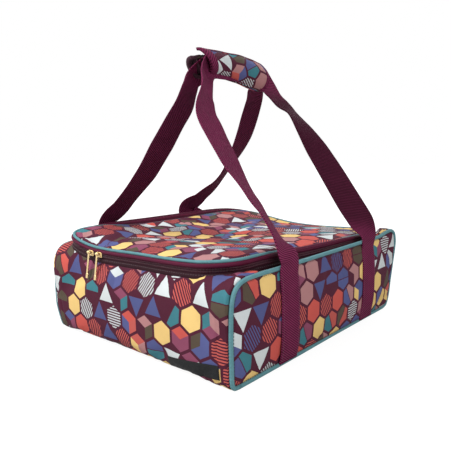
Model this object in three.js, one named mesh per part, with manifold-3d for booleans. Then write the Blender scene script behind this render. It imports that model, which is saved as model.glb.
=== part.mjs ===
// Casserole carrier: a soft insulated box bag with a zipped lid and two webbing handles
// Millimetres, +Z up, origin on the floor under the middle of the bag
// The zipped front faces -Y, the lid hinges along the back at +Y, the strapped sides face -X and +X

import * as THREE from 'three';
import Module from 'manifold-3d';
import { mergeVertices } from 'three/addons/utils/BufferGeometryUtils.js';

const wasm = await Module();
wasm.setup();

// Bag body
const bodyWidth = 300;
const bodyDepth = 360;
const bodyHeight = 108;
const shoulderRadius = 28;
const frontFootRadius = 14;
const backFootRadius = 40;
const backTopRadius = 22;

// Layers of the wall
const gap = 0.3;
const clothThickness = 1.2;
const foamThickness = 5;
const sideFoamThickness = 7.9;
const liningThickness = 0.8;

// Piping and side panels
const pipingRadius = 2.2;
const pipingInset = 2.4;
const pipingTuck = 0.6;
const pipingSeam = 0.4;
const panelSeam = 0.5;
const panelTuck = 0.8;
const panelThickness = 2.7;

// Loose board on the floor of the lining
const boardThickness = 2.4;
const boardCornerRadius = 10;
const boardSideClearance = 3.9;
const boardFrontClearance = 12.4;
const boardBackClearance = 2;

// Lid outline, set in from the sides and ends of the body
const lidSideMargin = 16;
const lidEndMargin = 6;
const lidCornerRadius = 40;
const marginFrontTrim = 24;
const marginBackTrim = 4;

// Zip
const bandDrop = 11;
const lowerTapeHeight = 7;
const upperTapeHeight = 3.5;
const tapeThickness = 1.2;
const coilHeight = 1.7;
const coilThickness = 2;
const coilStandOut = 0.4;
const coilGap = 1.4;
const stopLength = 3;
const zipEndMargin = 16;
const hingeBindingHeight = 3.7;
const hingeBindingThickness = 0.8;
const hingeBindingMargin = 4;

// Lid layers
const lidPipingInset = 1;
const lidLiningRise = 2.9;
const lidFoamThickness = 5.3;
const lidFoamClearance = 1.6;
const lidClothThickness = 1.5;

// Zip sliders and pull tabs
const sliderFromCorner = 25.25;
const sliderPitch = 16.5;
const sliderLength = 9;
const sliderClearance = 0.5;
const sliderFrontThickness = 1.7;
const sliderBackThickness = 1.3;
const sliderBelow = 3.4;
const sliderAbove = 4.6;
const sliderBackAbove = 3.4;
const neckLength = 5;
const neckClearance = 0.2;
const weld = 0.5;
const pinRadius = 0.8;
const pinStandOff = 2.8;
const pinRise = 1.5;
const lugThickness = 0.9;
const lugWall = 0.6;
const eyeClearance = 0.3;
const eyeWall = 1.1;
const tabWidth = 3.4;
const tabThickness = 1.2;
const tabLength = 33;
const tabLean = THREE.MathUtils.degToRad(9);

// Webbing handles
const webbingWidth = 32;
const webbingThickness = 1.6;
const strapSpacing = 180;
const strapHem = 4;
const strapPivotRise = 5;
const handleRise = 207;

// Grip in two halves that close on each other at X = 0
const gripLength = 120;
const gripRadius = 20;
const gripStrapX = 4.3;
const slotClearance = 0.4;
const paddingTrim = 1;
const closureThickness = 0.9;
const closureHeight = 18;
const closureLength = 110;
const bindingThickness = 0.8;
const bindingWidth = 5;
const gripBend = 5;
const gripTilt = THREE.MathUtils.degToRad(-5.7);

// Label
const labelWidth = 74.5;
const labelHeight = 12;
const labelThickness = 0.8;
const labelRise = 10;
const labelMargin = 9.3;

// Smoothness of round shapes
const cornerSteps = 8;
const cordSides = 8;
const pinSides = 16;
const gripSteps = 14;
const strapSteps = 3;

// Places that follow from the sizes
const frontY = -bodyDepth / 2;
const backY = bodyDepth / 2;
const foamStart = clothThickness + gap;
const foamEnd = foamStart + foamThickness;
const liningStart = foamEnd + gap;
const liningEnd = liningStart + liningThickness;
const pipingX = bodyWidth / 2 - pipingTuck;
const wrapHalf = pipingX - pipingRadius - pipingSeam;
const panelInset = pipingInset + pipingRadius + panelSeam;
const panelX = bodyWidth / 2 - panelTuck;
const sideFoamX = panelX - gap - sideFoamThickness;
const liningX = sideFoamX - gap;
const floorFrontY = frontY + frontFootRadius;
const floorBackY = backY - backFootRadius;
const lidHalfWidth = bodyWidth / 2 - lidSideMargin;
const lidFrontY = frontY + lidEndMargin;
const lidBackY = backY - lidEndMargin;
const zipEndY = lidBackY - lidCornerRadius - zipEndMargin;
const bandBottomZ = bodyHeight - bandDrop;
const lowerTapeTopZ = bandBottomZ + lowerTapeHeight;
const lowerCoilZ = lowerTapeTopZ + gap;
const hingeZ = lowerCoilZ + coilHeight;
const coilInset = coilThickness - coilStandOut;
const strapX = panelX + panelThickness + gap + webbingThickness / 2;
const strapY = strapSpacing / 2;
const strapPivotZ = bodyHeight + strapPivotRise;
const gripZ = strapPivotZ + handleRise;
const gripHalf = gripLength / 2;
const beyond = 2 * Math.max(bodyWidth, bodyDepth, gripZ);

const finishes = {
  print: { color: 0x6d3a4c, roughness: 0.85, metalness: 0 },
  webbing: { color: 0x5f1f3d, roughness: 0.8, metalness: 0 },
  tape: { color: 0x4c1228, roughness: 0.8, metalness: 0 },
  coil: { color: 0x3a0d1e, roughness: 0.5, metalness: 0 },
  teal: { color: 0x5f929b, roughness: 0.7, metalness: 0 },
  foam: { color: 0xe8e6df, roughness: 0.95, metalness: 0 },
  foil: { color: 0xc9ccd0, roughness: 0.35, metalness: 0.6 },
  board: { color: 0x2b2b2e, roughness: 0.6, metalness: 0 },
  gold: { color: 0xe0b456, roughness: 0.25, metalness: 1 },
  black: { color: 0x141416, roughness: 0.8, metalness: 0 },
};

function addPart(group, name, geometry, finish) {
  const mesh = new THREE.Mesh(geometry, new THREE.MeshStandardMaterial(finishes[finish]));
  mesh.name = name;
  group.add(mesh);
  return mesh;
}

// Closed solids, for joining and cutting
function toSolid(geometry) {
  const bare = geometry.clone();
  bare.deleteAttribute('normal');
  bare.deleteAttribute('uv');
  const welded = mergeVertices(bare, 1e-4);
  return new wasm.Manifold(new wasm.Mesh({
    numProp: 3,
    vertProperties: new Float32Array(welded.attributes.position.array),
    triVerts: new Uint32Array(welded.index.array),
  }));
}

function toGeometry(solid) {
  const mesh = solid.getMesh();
  const geometry = new THREE.BufferGeometry();
  geometry.setAttribute('position', new THREE.BufferAttribute(new Float32Array(mesh.vertProperties), 3));
  geometry.setIndex(new THREE.BufferAttribute(new Uint32Array(mesh.triVerts), 1));
  geometry.computeVertexNormals();
  return geometry;
}

function block(x, y, z) {
  const geometry = new THREE.BoxGeometry(x[1] - x[0], y[1] - y[0], z[1] - z[0]);
  geometry.translate((x[0] + x[1]) / 2, (y[0] + y[1]) / 2, (z[0] + z[1]) / 2);
  return toSolid(geometry);
}

const everywhere = [-beyond, beyond];

// Keeps the part of a solid that lies inside the given spans
function keep(solid, { x = everywhere, y = everywhere, z = everywhere }) {
  return solid.intersect(block(x, y, z));
}

// Prism of an outline, with three directions for the outline's two axes and its length
function prism(outline, length, across, up, along) {
  const geometry = new THREE.ExtrudeGeometry(new THREE.Shape(outline), {
    depth: length[1] - length[0], bevelEnabled: false, steps: 1,
  });
  geometry.translate(0, 0, length[0]);
  geometry.applyMatrix4(new THREE.Matrix4().makeBasis(across, up, along));
  return toSolid(geometry);
}

const axisX = new THREE.Vector3(1, 0, 0);
const axisY = new THREE.Vector3(0, 1, 0);
const axisZ = new THREE.Vector3(0, 0, 1);
const prismAlongX = (outline, length) => prism(outline, length, axisY, axisZ, axisX);
const prismAlongY = (outline, length) => prism(outline, length, axisZ, axisX, axisY);
const prismAlongZ = (outline, length) => prism(outline, length, axisX, axisY, axisZ);

function corner(centreU, centreV, radius, startDegrees) {
  const points = [];
  for (let i = 0; i <= cornerSteps; i += 1) {
    const angle = THREE.MathUtils.degToRad(startDegrees + (90 * i) / cornerSteps);
    points.push(new THREE.Vector2(centreU + radius * Math.cos(angle), centreV + radius * Math.sin(angle)));
  }
  return points;
}

// Side view of the bag in Y and Z, moved inward by an inset
function sideOutline(inset) {
  const topZ = bodyHeight;
  return [
    ...corner(frontY + frontFootRadius, frontFootRadius, frontFootRadius - inset, 180),
    ...corner(backY - backFootRadius, backFootRadius, backFootRadius - inset, 270),
    ...corner(backY - backTopRadius, topZ - backTopRadius, backTopRadius - inset, 0),
    ...corner(frontY + shoulderRadius, topZ - shoulderRadius, shoulderRadius - inset, 90),
  ];
}

function roundedPlan(halfWidth, front, back, radius, inset) {
  const x = halfWidth - radius;
  return [
    ...corner(-x, front + radius, radius - inset, 180),
    ...corner(x, front + radius, radius - inset, 270),
    ...corner(x, back - radius, radius - inset, 0),
    ...corner(-x, back - radius, radius - inset, 90),
  ];
}

const lidOutline = (inset) => roundedPlan(lidHalfWidth, lidFrontY, lidBackY, lidCornerRadius, inset);

// Upright wall along the lid outline, between an outer and an inner inset
function lidWall(insets, z, y) {
  const ring = prismAlongZ(lidOutline(insets[0]), z).subtract(prismAlongZ(lidOutline(insets[1]), everywhere));
  return keep(ring, { y });
}

const tapeInsets = [0, tapeThickness];
const coilInsets = [-coilStandOut, coilInset];
const zipSides = [-beyond, zipEndY];
const hingeSide = [zipEndY + gap, beyond];

// Skin through rings of points, closed on itself or capped at both ends
function skin(rings, closed) {
  const count = rings[0].length;
  const positions = rings.flat().flatMap((point) => [point.x, point.y, point.z]);
  const index = [];
  const spans = closed ? rings.length : rings.length - 1;
  for (let i = 0; i < spans; i += 1) {
    const next = (i + 1) % rings.length;
    for (let j = 0; j < count; j += 1) {
      const k = (j + 1) % count;
      index.push(i * count + j, i * count + k, next * count + k);
      index.push(i * count + j, next * count + k, next * count + j);
    }
  }
  if (!closed) {
    const last = (rings.length - 1) * count;
    for (let j = 1; j < count - 1; j += 1) {
      index.push(0, j + 1, j);
      index.push(last, last + j, last + j + 1);
    }
  }
  const geometry = new THREE.BufferGeometry();
  geometry.setAttribute('position', new THREE.Float32BufferAttribute(positions, 3));
  geometry.setIndex(index);
  geometry.computeVertexNormals();
  return geometry;
}

// Round cord along a flat closed loop
function loopCord(points, normal, radius) {
  const rings = points.map((point, i) => {
    const before = points.at(i - 1);
    const after = points[(i + 1) % points.length];
    const along = new THREE.Vector3().subVectors(after, before).normalize();
    const side = new THREE.Vector3().crossVectors(normal, along);
    return Array.from({ length: cordSides }, (_, j) => {
      const angle = (2 * Math.PI * j) / cordSides;
      return point.clone()
        .addScaledVector(side, radius * Math.cos(angle))
        .addScaledVector(normal, radius * Math.sin(angle));
    });
  });
  return skin(rings, true);
}

function rodAlongX(radius, length, y = 0, z = 0) {
  const geometry = new THREE.CylinderGeometry(radius, radius, length, pinSides);
  geometry.rotateZ(Math.PI / 2);
  geometry.translate(0, y, z);
  return toSolid(geometry);
}

// The same piece for the other hand, with its faces turned to look outward again
function mirrored(geometry) {
  const copy = geometry.clone();
  copy.scale(-1, 1, 1);
  const order = copy.index.array;
  for (let i = 0; i < order.length; i += 3) {
    [order[i], order[i + 1]] = [order[i + 1], order[i]];
  }
  copy.computeVertexNormals();
  return copy;
}

const carrier = new THREE.Group();
carrier.name = 'casserole_carrier';
const bag = new THREE.Group();
const lid = new THREE.Group();
lid.position.z = hingeZ;
carrier.add(bag, lid);

// Outer cloth: front, base, back and the strips beside the lid, cut from one wrap round the bag
const lidOpening = prismAlongZ(lidOutline(-coilStandOut - gap), [bodyHeight / 2, beyond]);
const clothWrap = prismAlongX(sideOutline(0), [-wrapHalf, wrapHalf])
  .subtract(prismAlongX(sideOutline(clothThickness), everywhere))
  .subtract(lidOpening);
const lowHalf = [-beyond, bodyHeight / 2];
const topHalf = [bodyHeight / 2, beyond];
const floorSpan = [floorFrontY + gap / 2, floorBackY - gap / 2];
const marginSpan = [
  lidFrontY + lidCornerRadius + marginFrontTrim,
  lidBackY - lidCornerRadius - marginBackTrim,
];
const frontCloth = keep(clothWrap, { y: [-beyond, marginSpan[0]] })
  .subtract(block(everywhere, [floorFrontY - gap / 2, beyond], lowHalf));
const backCloth = keep(clothWrap, { y: [marginSpan[1], beyond] })
  .add(keep(clothWrap, { y: [floorBackY + gap / 2, beyond], z: lowHalf }))
  .subtract(block(everywhere, [-beyond, floorBackY + gap / 2], lowHalf));
const topCloth = keep(clothWrap, { y: [marginSpan[0] + gap, marginSpan[1] - gap], z: topHalf });
addPart(bag, 'front_panel', toGeometry(frontCloth), 'print');
addPart(bag, 'base_panel', toGeometry(keep(clothWrap, { y: floorSpan, z: lowHalf })), 'print');
addPart(bag, 'back_panel', toGeometry(backCloth), 'print');
addPart(bag, 'left_top_margin', toGeometry(keep(topCloth, { x: [-beyond, 0] })), 'print');
addPart(bag, 'right_top_margin', toGeometry(keep(topCloth, { x: [0, beyond] })), 'print');

// Foam behind the front, base and back cloth
const foamWrap = keep(
  prismAlongX(sideOutline(foamStart), [-liningX, liningX])
    .subtract(prismAlongX(sideOutline(foamEnd), everywhere)),
  { z: [-beyond, bandBottomZ - gap] });
addPart(bag, 'front_foam', toGeometry(keep(foamWrap, { y: [-beyond, floorFrontY - gap / 2] })), 'foam');
addPart(bag, 'base_foam', toGeometry(keep(foamWrap, { y: floorSpan, z: lowHalf })), 'foam');
addPart(bag, 'back_foam', toGeometry(keep(foamWrap, { y: [floorBackY + gap / 2, beyond] })), 'foam');

// Foil lining, an open tub inside the foam, with a loose board on its floor
const tubHollow = liningX - liningThickness;
const lining = keep(
  prismAlongX(sideOutline(liningStart), [-liningX, liningX])
    .subtract(prismAlongX(sideOutline(liningEnd), [-tubHollow, tubHollow])),
  { z: [-beyond, bandBottomZ - gap] });
addPart(bag, 'lining_tub', toGeometry(lining), 'foil');
const boardPlan = roundedPlan(
  tubHollow - boardSideClearance,
  frontY + liningEnd + boardFrontClearance,
  floorBackY - boardBackClearance,
  boardCornerRadius, 0);
const boardZ = liningEnd + gap;
addPart(bag, 'base_board', toGeometry(prismAlongZ(boardPlan, [boardZ, boardZ + boardThickness])), 'board');

// Side panels, their foam and piping, and the lengths of strap sewn onto them
const sides = [['left', -1], ['right', 1]];
const ends = [['front', -1], ['rear', 1]];
const spanOf = (sign, inner, outer) => (sign > 0 ? [inner, outer] : [-outer, -inner]);
const strapFootTopZ = strapPivotZ - gap / 2;
const strapFoot = new THREE.BoxGeometry(webbingThickness, webbingWidth, strapFootTopZ - strapHem);
for (const [side, sign] of sides) {
  const outline = sideOutline(panelInset);
  const panelSpan = spanOf(sign, panelX, panelX + panelThickness);
  const foamSpan = spanOf(sign, sideFoamX, sideFoamX + sideFoamThickness);
  addPart(bag, `${side}_side_panel`, toGeometry(prismAlongX(outline, panelSpan)), 'print');
  addPart(bag, `${side}_side_foam`, toGeometry(prismAlongX(outline, foamSpan)), 'foam');
  const loop = sideOutline(pipingInset).map((p) => new THREE.Vector3(sign * pipingX, p.x, p.y));
  addPart(bag, `${side}_piping`, loopCord(loop, axisX, pipingRadius), 'teal');
  for (const [end, way] of ends) {
    const foot = addPart(bag, `${side}_${end}_strap_foot`, strapFoot, 'webbing');
    foot.position.set(sign * strapX, way * strapY, (strapHem + strapFootTopZ) / 2);
  }
}

// The bag's half of the zip, and the rim that the lid hinges on
const coilEndY = zipEndY - stopLength - gap;
const lowerTapeSpan = [bandBottomZ, lowerTapeTopZ];
const lowerCoilSpan = [lowerCoilZ, lowerCoilZ + coilHeight];
addPart(bag, 'lower_zip_tape', toGeometry(lidWall(tapeInsets, lowerTapeSpan, zipSides)), 'tape');
addPart(bag, 'lower_zip_coil', toGeometry(lidWall(coilInsets, lowerCoilSpan, [-beyond, coilEndY])), 'coil');
const zipStop = new THREE.BoxGeometry(coilThickness, stopLength, coilHeight);
for (const [side, sign] of sides) {
  const stop = addPart(bag, `${side}_zip_stop`, zipStop, 'gold');
  stop.position.set(
    sign * (lidHalfWidth + coilStandOut - coilThickness / 2),
    zipEndY - stopLength / 2,
    lowerCoilZ + coilHeight / 2);
}
addPart(bag, 'back_rim', toGeometry(lidWall(tapeInsets, [bandBottomZ, hingeZ - gap], hingeSide)), 'tape');
const hingeBindingWidth = 2 * (lidHalfWidth - lidCornerRadius - hingeBindingMargin);
const hingeBinding = addPart(bag, 'hinge_binding',
  new THREE.BoxGeometry(hingeBindingWidth, hingeBindingThickness, hingeBindingHeight), 'tape');
hingeBinding.position.set(
  0, lidBackY + gap + hingeBindingThickness / 2, hingeZ - gap - hingeBindingHeight / 2);

// Bare woven label low on the front
const label = addPart(bag, 'front_label',
  new THREE.BoxGeometry(labelWidth, labelThickness, labelHeight), 'black');
label.position.set(
  wrapHalf - labelMargin - labelWidth / 2,
  frontY - gap - labelThickness / 2,
  labelRise + labelHeight / 2);

// Lid, with heights counted from the hinge line
const upperCoilSpan = [coilGap, coilGap + coilHeight];
const upperTapeSpan = [upperCoilSpan[1] + gap, upperCoilSpan[1] + gap + upperTapeHeight];
const lidPipingZ = upperTapeSpan[1] + gap + pipingRadius;
const lidLiningSpan = [lidLiningRise, lidLiningRise + liningThickness];
const lidFoamSpan = [lidLiningSpan[1] + gap, lidLiningSpan[1] + gap + lidFoamThickness];
const lidClothSpan = [lidFoamSpan[1] + gap, lidFoamSpan[1] + gap + lidClothThickness];
const lidClothInset = lidPipingInset + pipingRadius + gap;
const lidFoamInset = coilInset + sliderClearance + sliderBackThickness + lidFoamClearance;
addPart(lid, 'upper_zip_coil', toGeometry(lidWall(coilInsets, upperCoilSpan, zipSides)), 'coil');
addPart(lid, 'upper_zip_tape', toGeometry(lidWall(tapeInsets, upperTapeSpan, zipSides)), 'tape');
addPart(lid, 'lid_back_band', toGeometry(lidWall(tapeInsets, [gap, upperTapeSpan[1]], hingeSide)), 'tape');
const lidLoop = lidOutline(lidPipingInset).map((p) => new THREE.Vector3(p.x, p.y, lidPipingZ));
addPart(lid, 'lid_piping', loopCord(lidLoop, axisZ, pipingRadius), 'teal');
addPart(lid, 'lid_panel', toGeometry(prismAlongZ(lidOutline(lidClothInset), lidClothSpan)), 'print');
addPart(lid, 'lid_foam', toGeometry(prismAlongZ(lidOutline(lidFoamInset), lidFoamSpan)), 'foam');
addPart(lid, 'lid_lining', toGeometry(prismAlongZ(lidOutline(lidFoamInset), lidLiningSpan)), 'foil');

// Zip slider, modelled about the point where the hinge height meets the front of the zip tape
const plateBackY = -coilStandOut - sliderClearance;
const plateFrontY = plateBackY - sliderFrontThickness;
const innerPlateY = coilInset + sliderClearance;
const pinY = plateFrontY - pinStandOff;
const lugX = tabWidth / 2 + gap;
function sliderSolid() {
  const x = [-sliderLength / 2, sliderLength / 2];
  const outerPlate = block(x, [plateFrontY, plateBackY], [-sliderBelow, sliderAbove]);
  const innerPlateEnd = innerPlateY + sliderBackThickness;
  const innerPlate = block(x, [innerPlateY, innerPlateEnd], [-sliderBelow, sliderBackAbove]);
  const neck = block(
    [-neckLength / 2, neckLength / 2],
    [plateBackY - weld, innerPlateY + weld],
    [neckClearance, coilGap - neckClearance]);
  const lugReach = pinRadius + lugWall;
  const lugs = sides.map(([, sign]) => block(
    spanOf(sign, lugX, lugX + lugThickness),
    [pinY - lugReach, plateFrontY + weld],
    [pinRise - lugReach, pinRise + lugReach]));
  const pin = rodAlongX(pinRadius, 2 * lugX + lugThickness, pinY, pinRise);
  return outerPlate.add(innerPlate).add(neck).add(lugs[0]).add(lugs[1]).add(pin);
}

// Pull tab, modelled about its pin and hanging straight down
function tabSolid() {
  const eyeRadius = pinRadius + eyeClearance;
  const bar = block(
    [-tabWidth / 2, tabWidth / 2],
    [-tabThickness / 2, tabThickness / 2],
    [-tabLength - eyeRadius, -eyeRadius - eyeWall / 2]);
  return bar.add(rodAlongX(eyeRadius + eyeWall, tabWidth)).subtract(rodAlongX(eyeRadius, 2 * tabWidth));
}

const sliderGeometry = toGeometry(sliderSolid());
const tabGeometry = toGeometry(tabSolid());
const sliderMiddle = -lidHalfWidth + lidCornerRadius + sliderFromCorner;
for (const [side, sign] of sides) {
  const runner = new THREE.Group();
  runner.position.set(sliderMiddle + (sign * sliderPitch) / 2, lidFrontY, hingeZ);
  addPart(runner, `${side}_slider`, sliderGeometry, 'gold');
  const tab = addPart(runner, `${side}_pull`, tabGeometry, 'gold');
  tab.position.set(0, pinY, pinRise);
  tab.rotation.x = -tabLean;
  carrier.add(runner);
}

// Handle straps: each leaves its side panel upright, leans over the lid and runs through the grip
// A leg point says how far it has leaned in and risen, as parts of the whole way, how far it spreads
// past its foot, in strap widths, and its twist in degrees
const uprightShape = [
  { lean: 0, spread: 0, rise: 0.0145, twist: 0 },
  { lean: 0, spread: 0, rise: 0.029, twist: 0 },
];
const legShapes = {
  right: {
    front: [
      { lean: 0.04, spread: 0.08, rise: 0.08, twist: 4 },
      { lean: 0.18, spread: 0.28, rise: 0.24, twist: 12 },
      { lean: 0.4, spread: 0.34, rise: 0.44, twist: 16 },
      { lean: 0.61, spread: 0.37, rise: 0.64, twist: 5 },
      { lean: 0.8, spread: 0.15, rise: 0.82, twist: 5 },
    ],
    rear: [
      { lean: 0.04, spread: 0.02, rise: 0.08, twist: 6 },
      { lean: 0.18, spread: 0.06, rise: 0.2, twist: 22 },
      { lean: 0.39, spread: 0.12, rise: 0.36, twist: 40 },
      { lean: 0.56, spread: 0.19, rise: 0.52, twist: 30 },
      { lean: 0.71, spread: 0.16, rise: 0.67, twist: 5 },
      { lean: 0.83, spread: 0.03, rise: 0.77, twist: -20 },
      { lean: 0.91, spread: -0.19, rise: 0.855, twist: -10 },
    ],
  },
  left: {
    front: [
      { lean: 0.02, spread: 0.02, rise: 0.08, twist: 0 },
      { lean: 0.13, spread: -0.06, rise: 0.2, twist: 4 },
      { lean: 0.4, spread: -0.16, rise: 0.4, twist: 12 },
      { lean: 0.65, spread: -0.16, rise: 0.575, twist: 14 },
      { lean: 0.84, spread: -0.25, rise: 0.715, twist: 10 },
      { lean: 0.95, spread: -0.44, rise: 0.82, twist: -4 },
    ],
    rear: [
      { lean: 0.02, spread: 0.03, rise: 0.08, twist: 6 },
      { lean: 0.08, spread: 0.12, rise: 0.155, twist: 16 },
      { lean: 0.2, spread: 0.28, rise: 0.255, twist: 24 },
      { lean: 0.33, spread: 0.41, rise: 0.35, twist: 24 },
      { lean: 0.44, spread: 0.44, rise: 0.465, twist: 12 },
      { lean: 0.585, spread: 0.375, rise: 0.615, twist: -5 },
      { lean: 0.725, spread: 0.16, rise: 0.78, twist: -12 },
      { lean: 0.85, spread: -0.22, rise: 0.89, twist: -8 },
    ],
  },
};
// A bend point says how far it lies outside, past the end of and below the strap in the grip
// in grip radii
const bendShape = [
  { out: 0.25, past: 0.65, drop: 0.35 },
  { out: 0, past: 0, drop: 0 },
  { out: 0, past: -0.15, drop: 0 },
];

// One leg from its foot to the middle of the grip, for the right hand, with way -1 for the front
function strapLeg(shape, way) {
  const bendY = gripHalf + gripBend;
  const leanRun = strapX - gripStrapX;
  const gripPlace = new THREE.Vector3(0, 0, gripZ);
  const inGrip = (x, y, z) => new THREE.Vector3(x, y, z).applyAxisAngle(axisX, gripTilt).add(gripPlace);
  const foot = { point: new THREE.Vector3(strapX, way * strapY, strapPivotZ + gap / 2), twist: 0 };
  const leg = [...uprightShape, ...shape].map(({ lean, spread, rise, twist }) => ({
    point: new THREE.Vector3(
      strapX - lean * leanRun, way * (strapY + spread * webbingWidth), strapPivotZ + rise * handleRise),
    twist: THREE.MathUtils.degToRad(twist),
  }));
  const bend = bendShape.map(({ out, past, drop }) => ({
    point: inGrip(gripStrapX + out * gripRadius, way * (bendY + past * gripRadius), -drop * gripRadius),
    twist: 0,
  }));
  const within = [1, 0.5].map((part) => ({ point: inGrip(gripStrapX, way * part * gripHalf, 0), twist: 0 }));
  return [foot, ...leg, ...bend, ...within];
}

// Cross sections of a strap, whose flat face leans with its path but never past the middle of the grip
function strapRings({ front, rear }) {
  const stations = [...strapLeg(front, -1), ...strapLeg(rear, 1).reverse()];
  const curve = new THREE.CatmullRomCurve3(stations.map(({ point }) => point), false, 'centripetal');
  const spans = stations.length - 1;
  return Array.from({ length: spans * strapSteps + 1 }, (_, i) => {
    const centre = curve.getPoint(i / (spans * strapSteps));
    const along = curve.getTangent(i / (spans * strapSteps));
    const span = Math.min(spans - 1, Math.floor(i / strapSteps));
    const part = THREE.MathUtils.smoothstep(i / strapSteps - span, 0, 1);
    const twist = THREE.MathUtils.lerp(stations[span].twist, stations[span + 1].twist, part);
    const steepness = THREE.MathUtils.smoothstep(Math.hypot(along.x, along.z), 0.15, 0.75);
    const room = Math.max(0, centre.x - gripStrapX) / (webbingWidth / 2);
    const lean = Math.min(
      Math.asin(Math.min(1, room)),
      steepness * Math.atan2(Math.abs(along.x), Math.abs(along.z)));
    const face = new THREE.Vector3(Math.cos(lean), 0, Math.sin(lean));
    const across = new THREE.Vector3().crossVectors(face, along).normalize().applyAxisAngle(along, twist);
    face.crossVectors(along, across);
    const w = across.multiplyScalar(webbingWidth / 2);
    const f = face.multiplyScalar(webbingThickness / 2);
    return [
      centre.clone().add(w).add(f),
      centre.clone().sub(w).add(f),
      centre.clone().sub(w).sub(f),
      centre.clone().add(w).sub(f),
    ];
  });
}

// Right half of a rod along Y, cut flat at the given X
function halfRod(radius, flatX, halfLength) {
  const reach = Math.acos(flatX / radius);
  const outline = Array.from({ length: gripSteps + 1 }, (_, i) => {
    const angle = reach - (2 * reach * i) / gripSteps;
    return new THREE.Vector2(radius * Math.sin(angle), radius * Math.cos(angle));
  });
  return prismAlongY(outline, [-halfLength, halfLength]);
}

// Pieces of the right half of the grip, modelled about the middle of the grip
const splitX = gap / 2;
const paddingFlatX = splitX + closureThickness + gap;
const coverInner = gripRadius - clothThickness;
const bindingInner = gripRadius + gap;
const bindingOuter = bindingInner + bindingThickness;
const beyondSplit = [gap, beyond];
const halfShell = (outer, inner) => keep(
  halfRod(outer, 0, gripHalf).subtract(halfRod(inner, 0, beyond)), { x: beyondSplit });
const slotX = webbingThickness / 2 + slotClearance;
const slotZ = webbingWidth / 2 + slotClearance;
const strapSlot = block([gripStrapX - slotX, gripStrapX + slotX], everywhere, [-slotZ, slotZ]);
const bindingHollow = halfRod(bindingOuter + bindingWidth, bindingWidth, gripHalf - bindingWidth);
const gripPieces = {
  cover: halfShell(gripRadius, coverInner),
  padding: halfRod(coverInner - gap, paddingFlatX, gripHalf - paddingTrim).subtract(strapSlot),
  binding: halfShell(bindingOuter, bindingInner).subtract(bindingHollow),
  closure: block(
    [splitX, splitX + closureThickness],
    [-closureLength / 2, closureLength / 2],
    [-closureHeight / 2, closureHeight / 2]),
};

for (const [side, sign] of sides) {
  const handle = new THREE.Group();
  const grip = new THREE.Group();
  grip.position.z = gripZ;
  grip.rotation.x = gripTilt;
  const handed = (geometry) => (sign > 0 ? geometry : mirrored(geometry));
  const gripPiece = (name, solid, finish) => addPart(grip, name, handed(toGeometry(solid)), finish);
  addPart(handle, `${side}_strap_loop`, handed(skin(strapRings(legShapes[side]), false)), 'webbing');
  gripPiece(`${side}_grip_cover`, gripPieces.cover, 'print');
  gripPiece(`${side}_grip_padding`, gripPieces.padding, 'foam');
  gripPiece(`${side}_grip_binding`, gripPieces.binding, 'webbing');
  gripPiece(sign > 0 ? 'right_hook_strip' : 'left_loop_strip', gripPieces.closure, 'black');
  handle.add(grip);
  carrier.add(handle);
}

export default carrier;
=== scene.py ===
"""Casserole carrier: the soft cloth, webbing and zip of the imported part, with its studio and camera."""

import logging
import math
from dataclasses import dataclass, field
from enum import Enum
from functools import cached_property
from typing import Any, Iterable, Sequence

import bmesh
import bpy
import numpy as np
from mathutils import Matrix, Vector
from mathutils.bvhtree import BVHTree


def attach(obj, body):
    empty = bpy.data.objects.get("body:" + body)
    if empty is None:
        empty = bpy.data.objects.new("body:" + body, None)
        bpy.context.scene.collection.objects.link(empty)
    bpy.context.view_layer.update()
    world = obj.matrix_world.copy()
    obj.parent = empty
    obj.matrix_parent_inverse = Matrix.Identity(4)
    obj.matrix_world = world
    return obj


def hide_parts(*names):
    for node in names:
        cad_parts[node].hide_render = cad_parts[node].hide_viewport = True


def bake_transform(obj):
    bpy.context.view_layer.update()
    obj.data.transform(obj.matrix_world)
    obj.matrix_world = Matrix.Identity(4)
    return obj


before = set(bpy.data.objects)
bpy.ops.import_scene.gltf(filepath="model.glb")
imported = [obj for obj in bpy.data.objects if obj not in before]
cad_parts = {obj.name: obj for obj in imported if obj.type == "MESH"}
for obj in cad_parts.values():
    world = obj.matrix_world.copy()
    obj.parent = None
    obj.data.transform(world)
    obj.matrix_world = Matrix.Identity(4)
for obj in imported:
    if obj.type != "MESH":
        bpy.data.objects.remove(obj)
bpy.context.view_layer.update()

CLOTH_MAP = "cloth"
ALONG = "along"
AROUND = "around"
SHADE = "shade"
SEWN = "sewn"
MM = 0.001
Array = np.ndarray
Piece = bpy.types.Object
Material = bpy.types.Material
Pair = tuple[float, float]
Triple = tuple[float, float, float]
Colour = tuple[float, float, float, float]
log = logging.getLogger("carrier")


# Small sums

def smooth(value: Any, low: float, high: float) -> Any:
    """Rises softly from 0 at low to 1 at high, for a number or an array."""
    t = np.clip((value - low) / (high - low), 0.0, 1.0)
    return t * t * (3 - 2 * t)


def ink(code: str) -> Colour:
    """Turns six hexadecimal digits of a screen colour into scene-linear light."""
    parts = (int(code[i:i + 2], 16) / 255 for i in (0, 2, 4))
    return (*(c / 12.92 if c <= 0.04045 else ((c + 0.055) / 1.055) ** 2.4 for c in parts), 1.0)


def unit(vectors: Array) -> Array:
    """Scales every vector to length one."""
    return vectors / np.maximum(np.linalg.norm(vectors, axis=-1, keepdims=True), 1e-12)


def travel(points: Array) -> Array:
    """Gives the way along a polyline to each of its points."""
    return np.r_[0, np.cumsum(np.linalg.norm(np.diff(points, axis=0), axis=1))]


def hand(sign: int) -> str:
    """Names a side: -1 is the left and 1 the right."""
    return "right" if sign > 0 else "left"


def dome(shape: tuple[int, ...], power: float) -> Array:
    """Gives a swell over a grid that is 0 along its edge and 1 in its middle."""
    v, u = (np.sin(math.pi * np.linspace(0, 1, count)) for count in shape)
    return np.maximum(v[:, None] * u[None, :], 0) ** power


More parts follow.
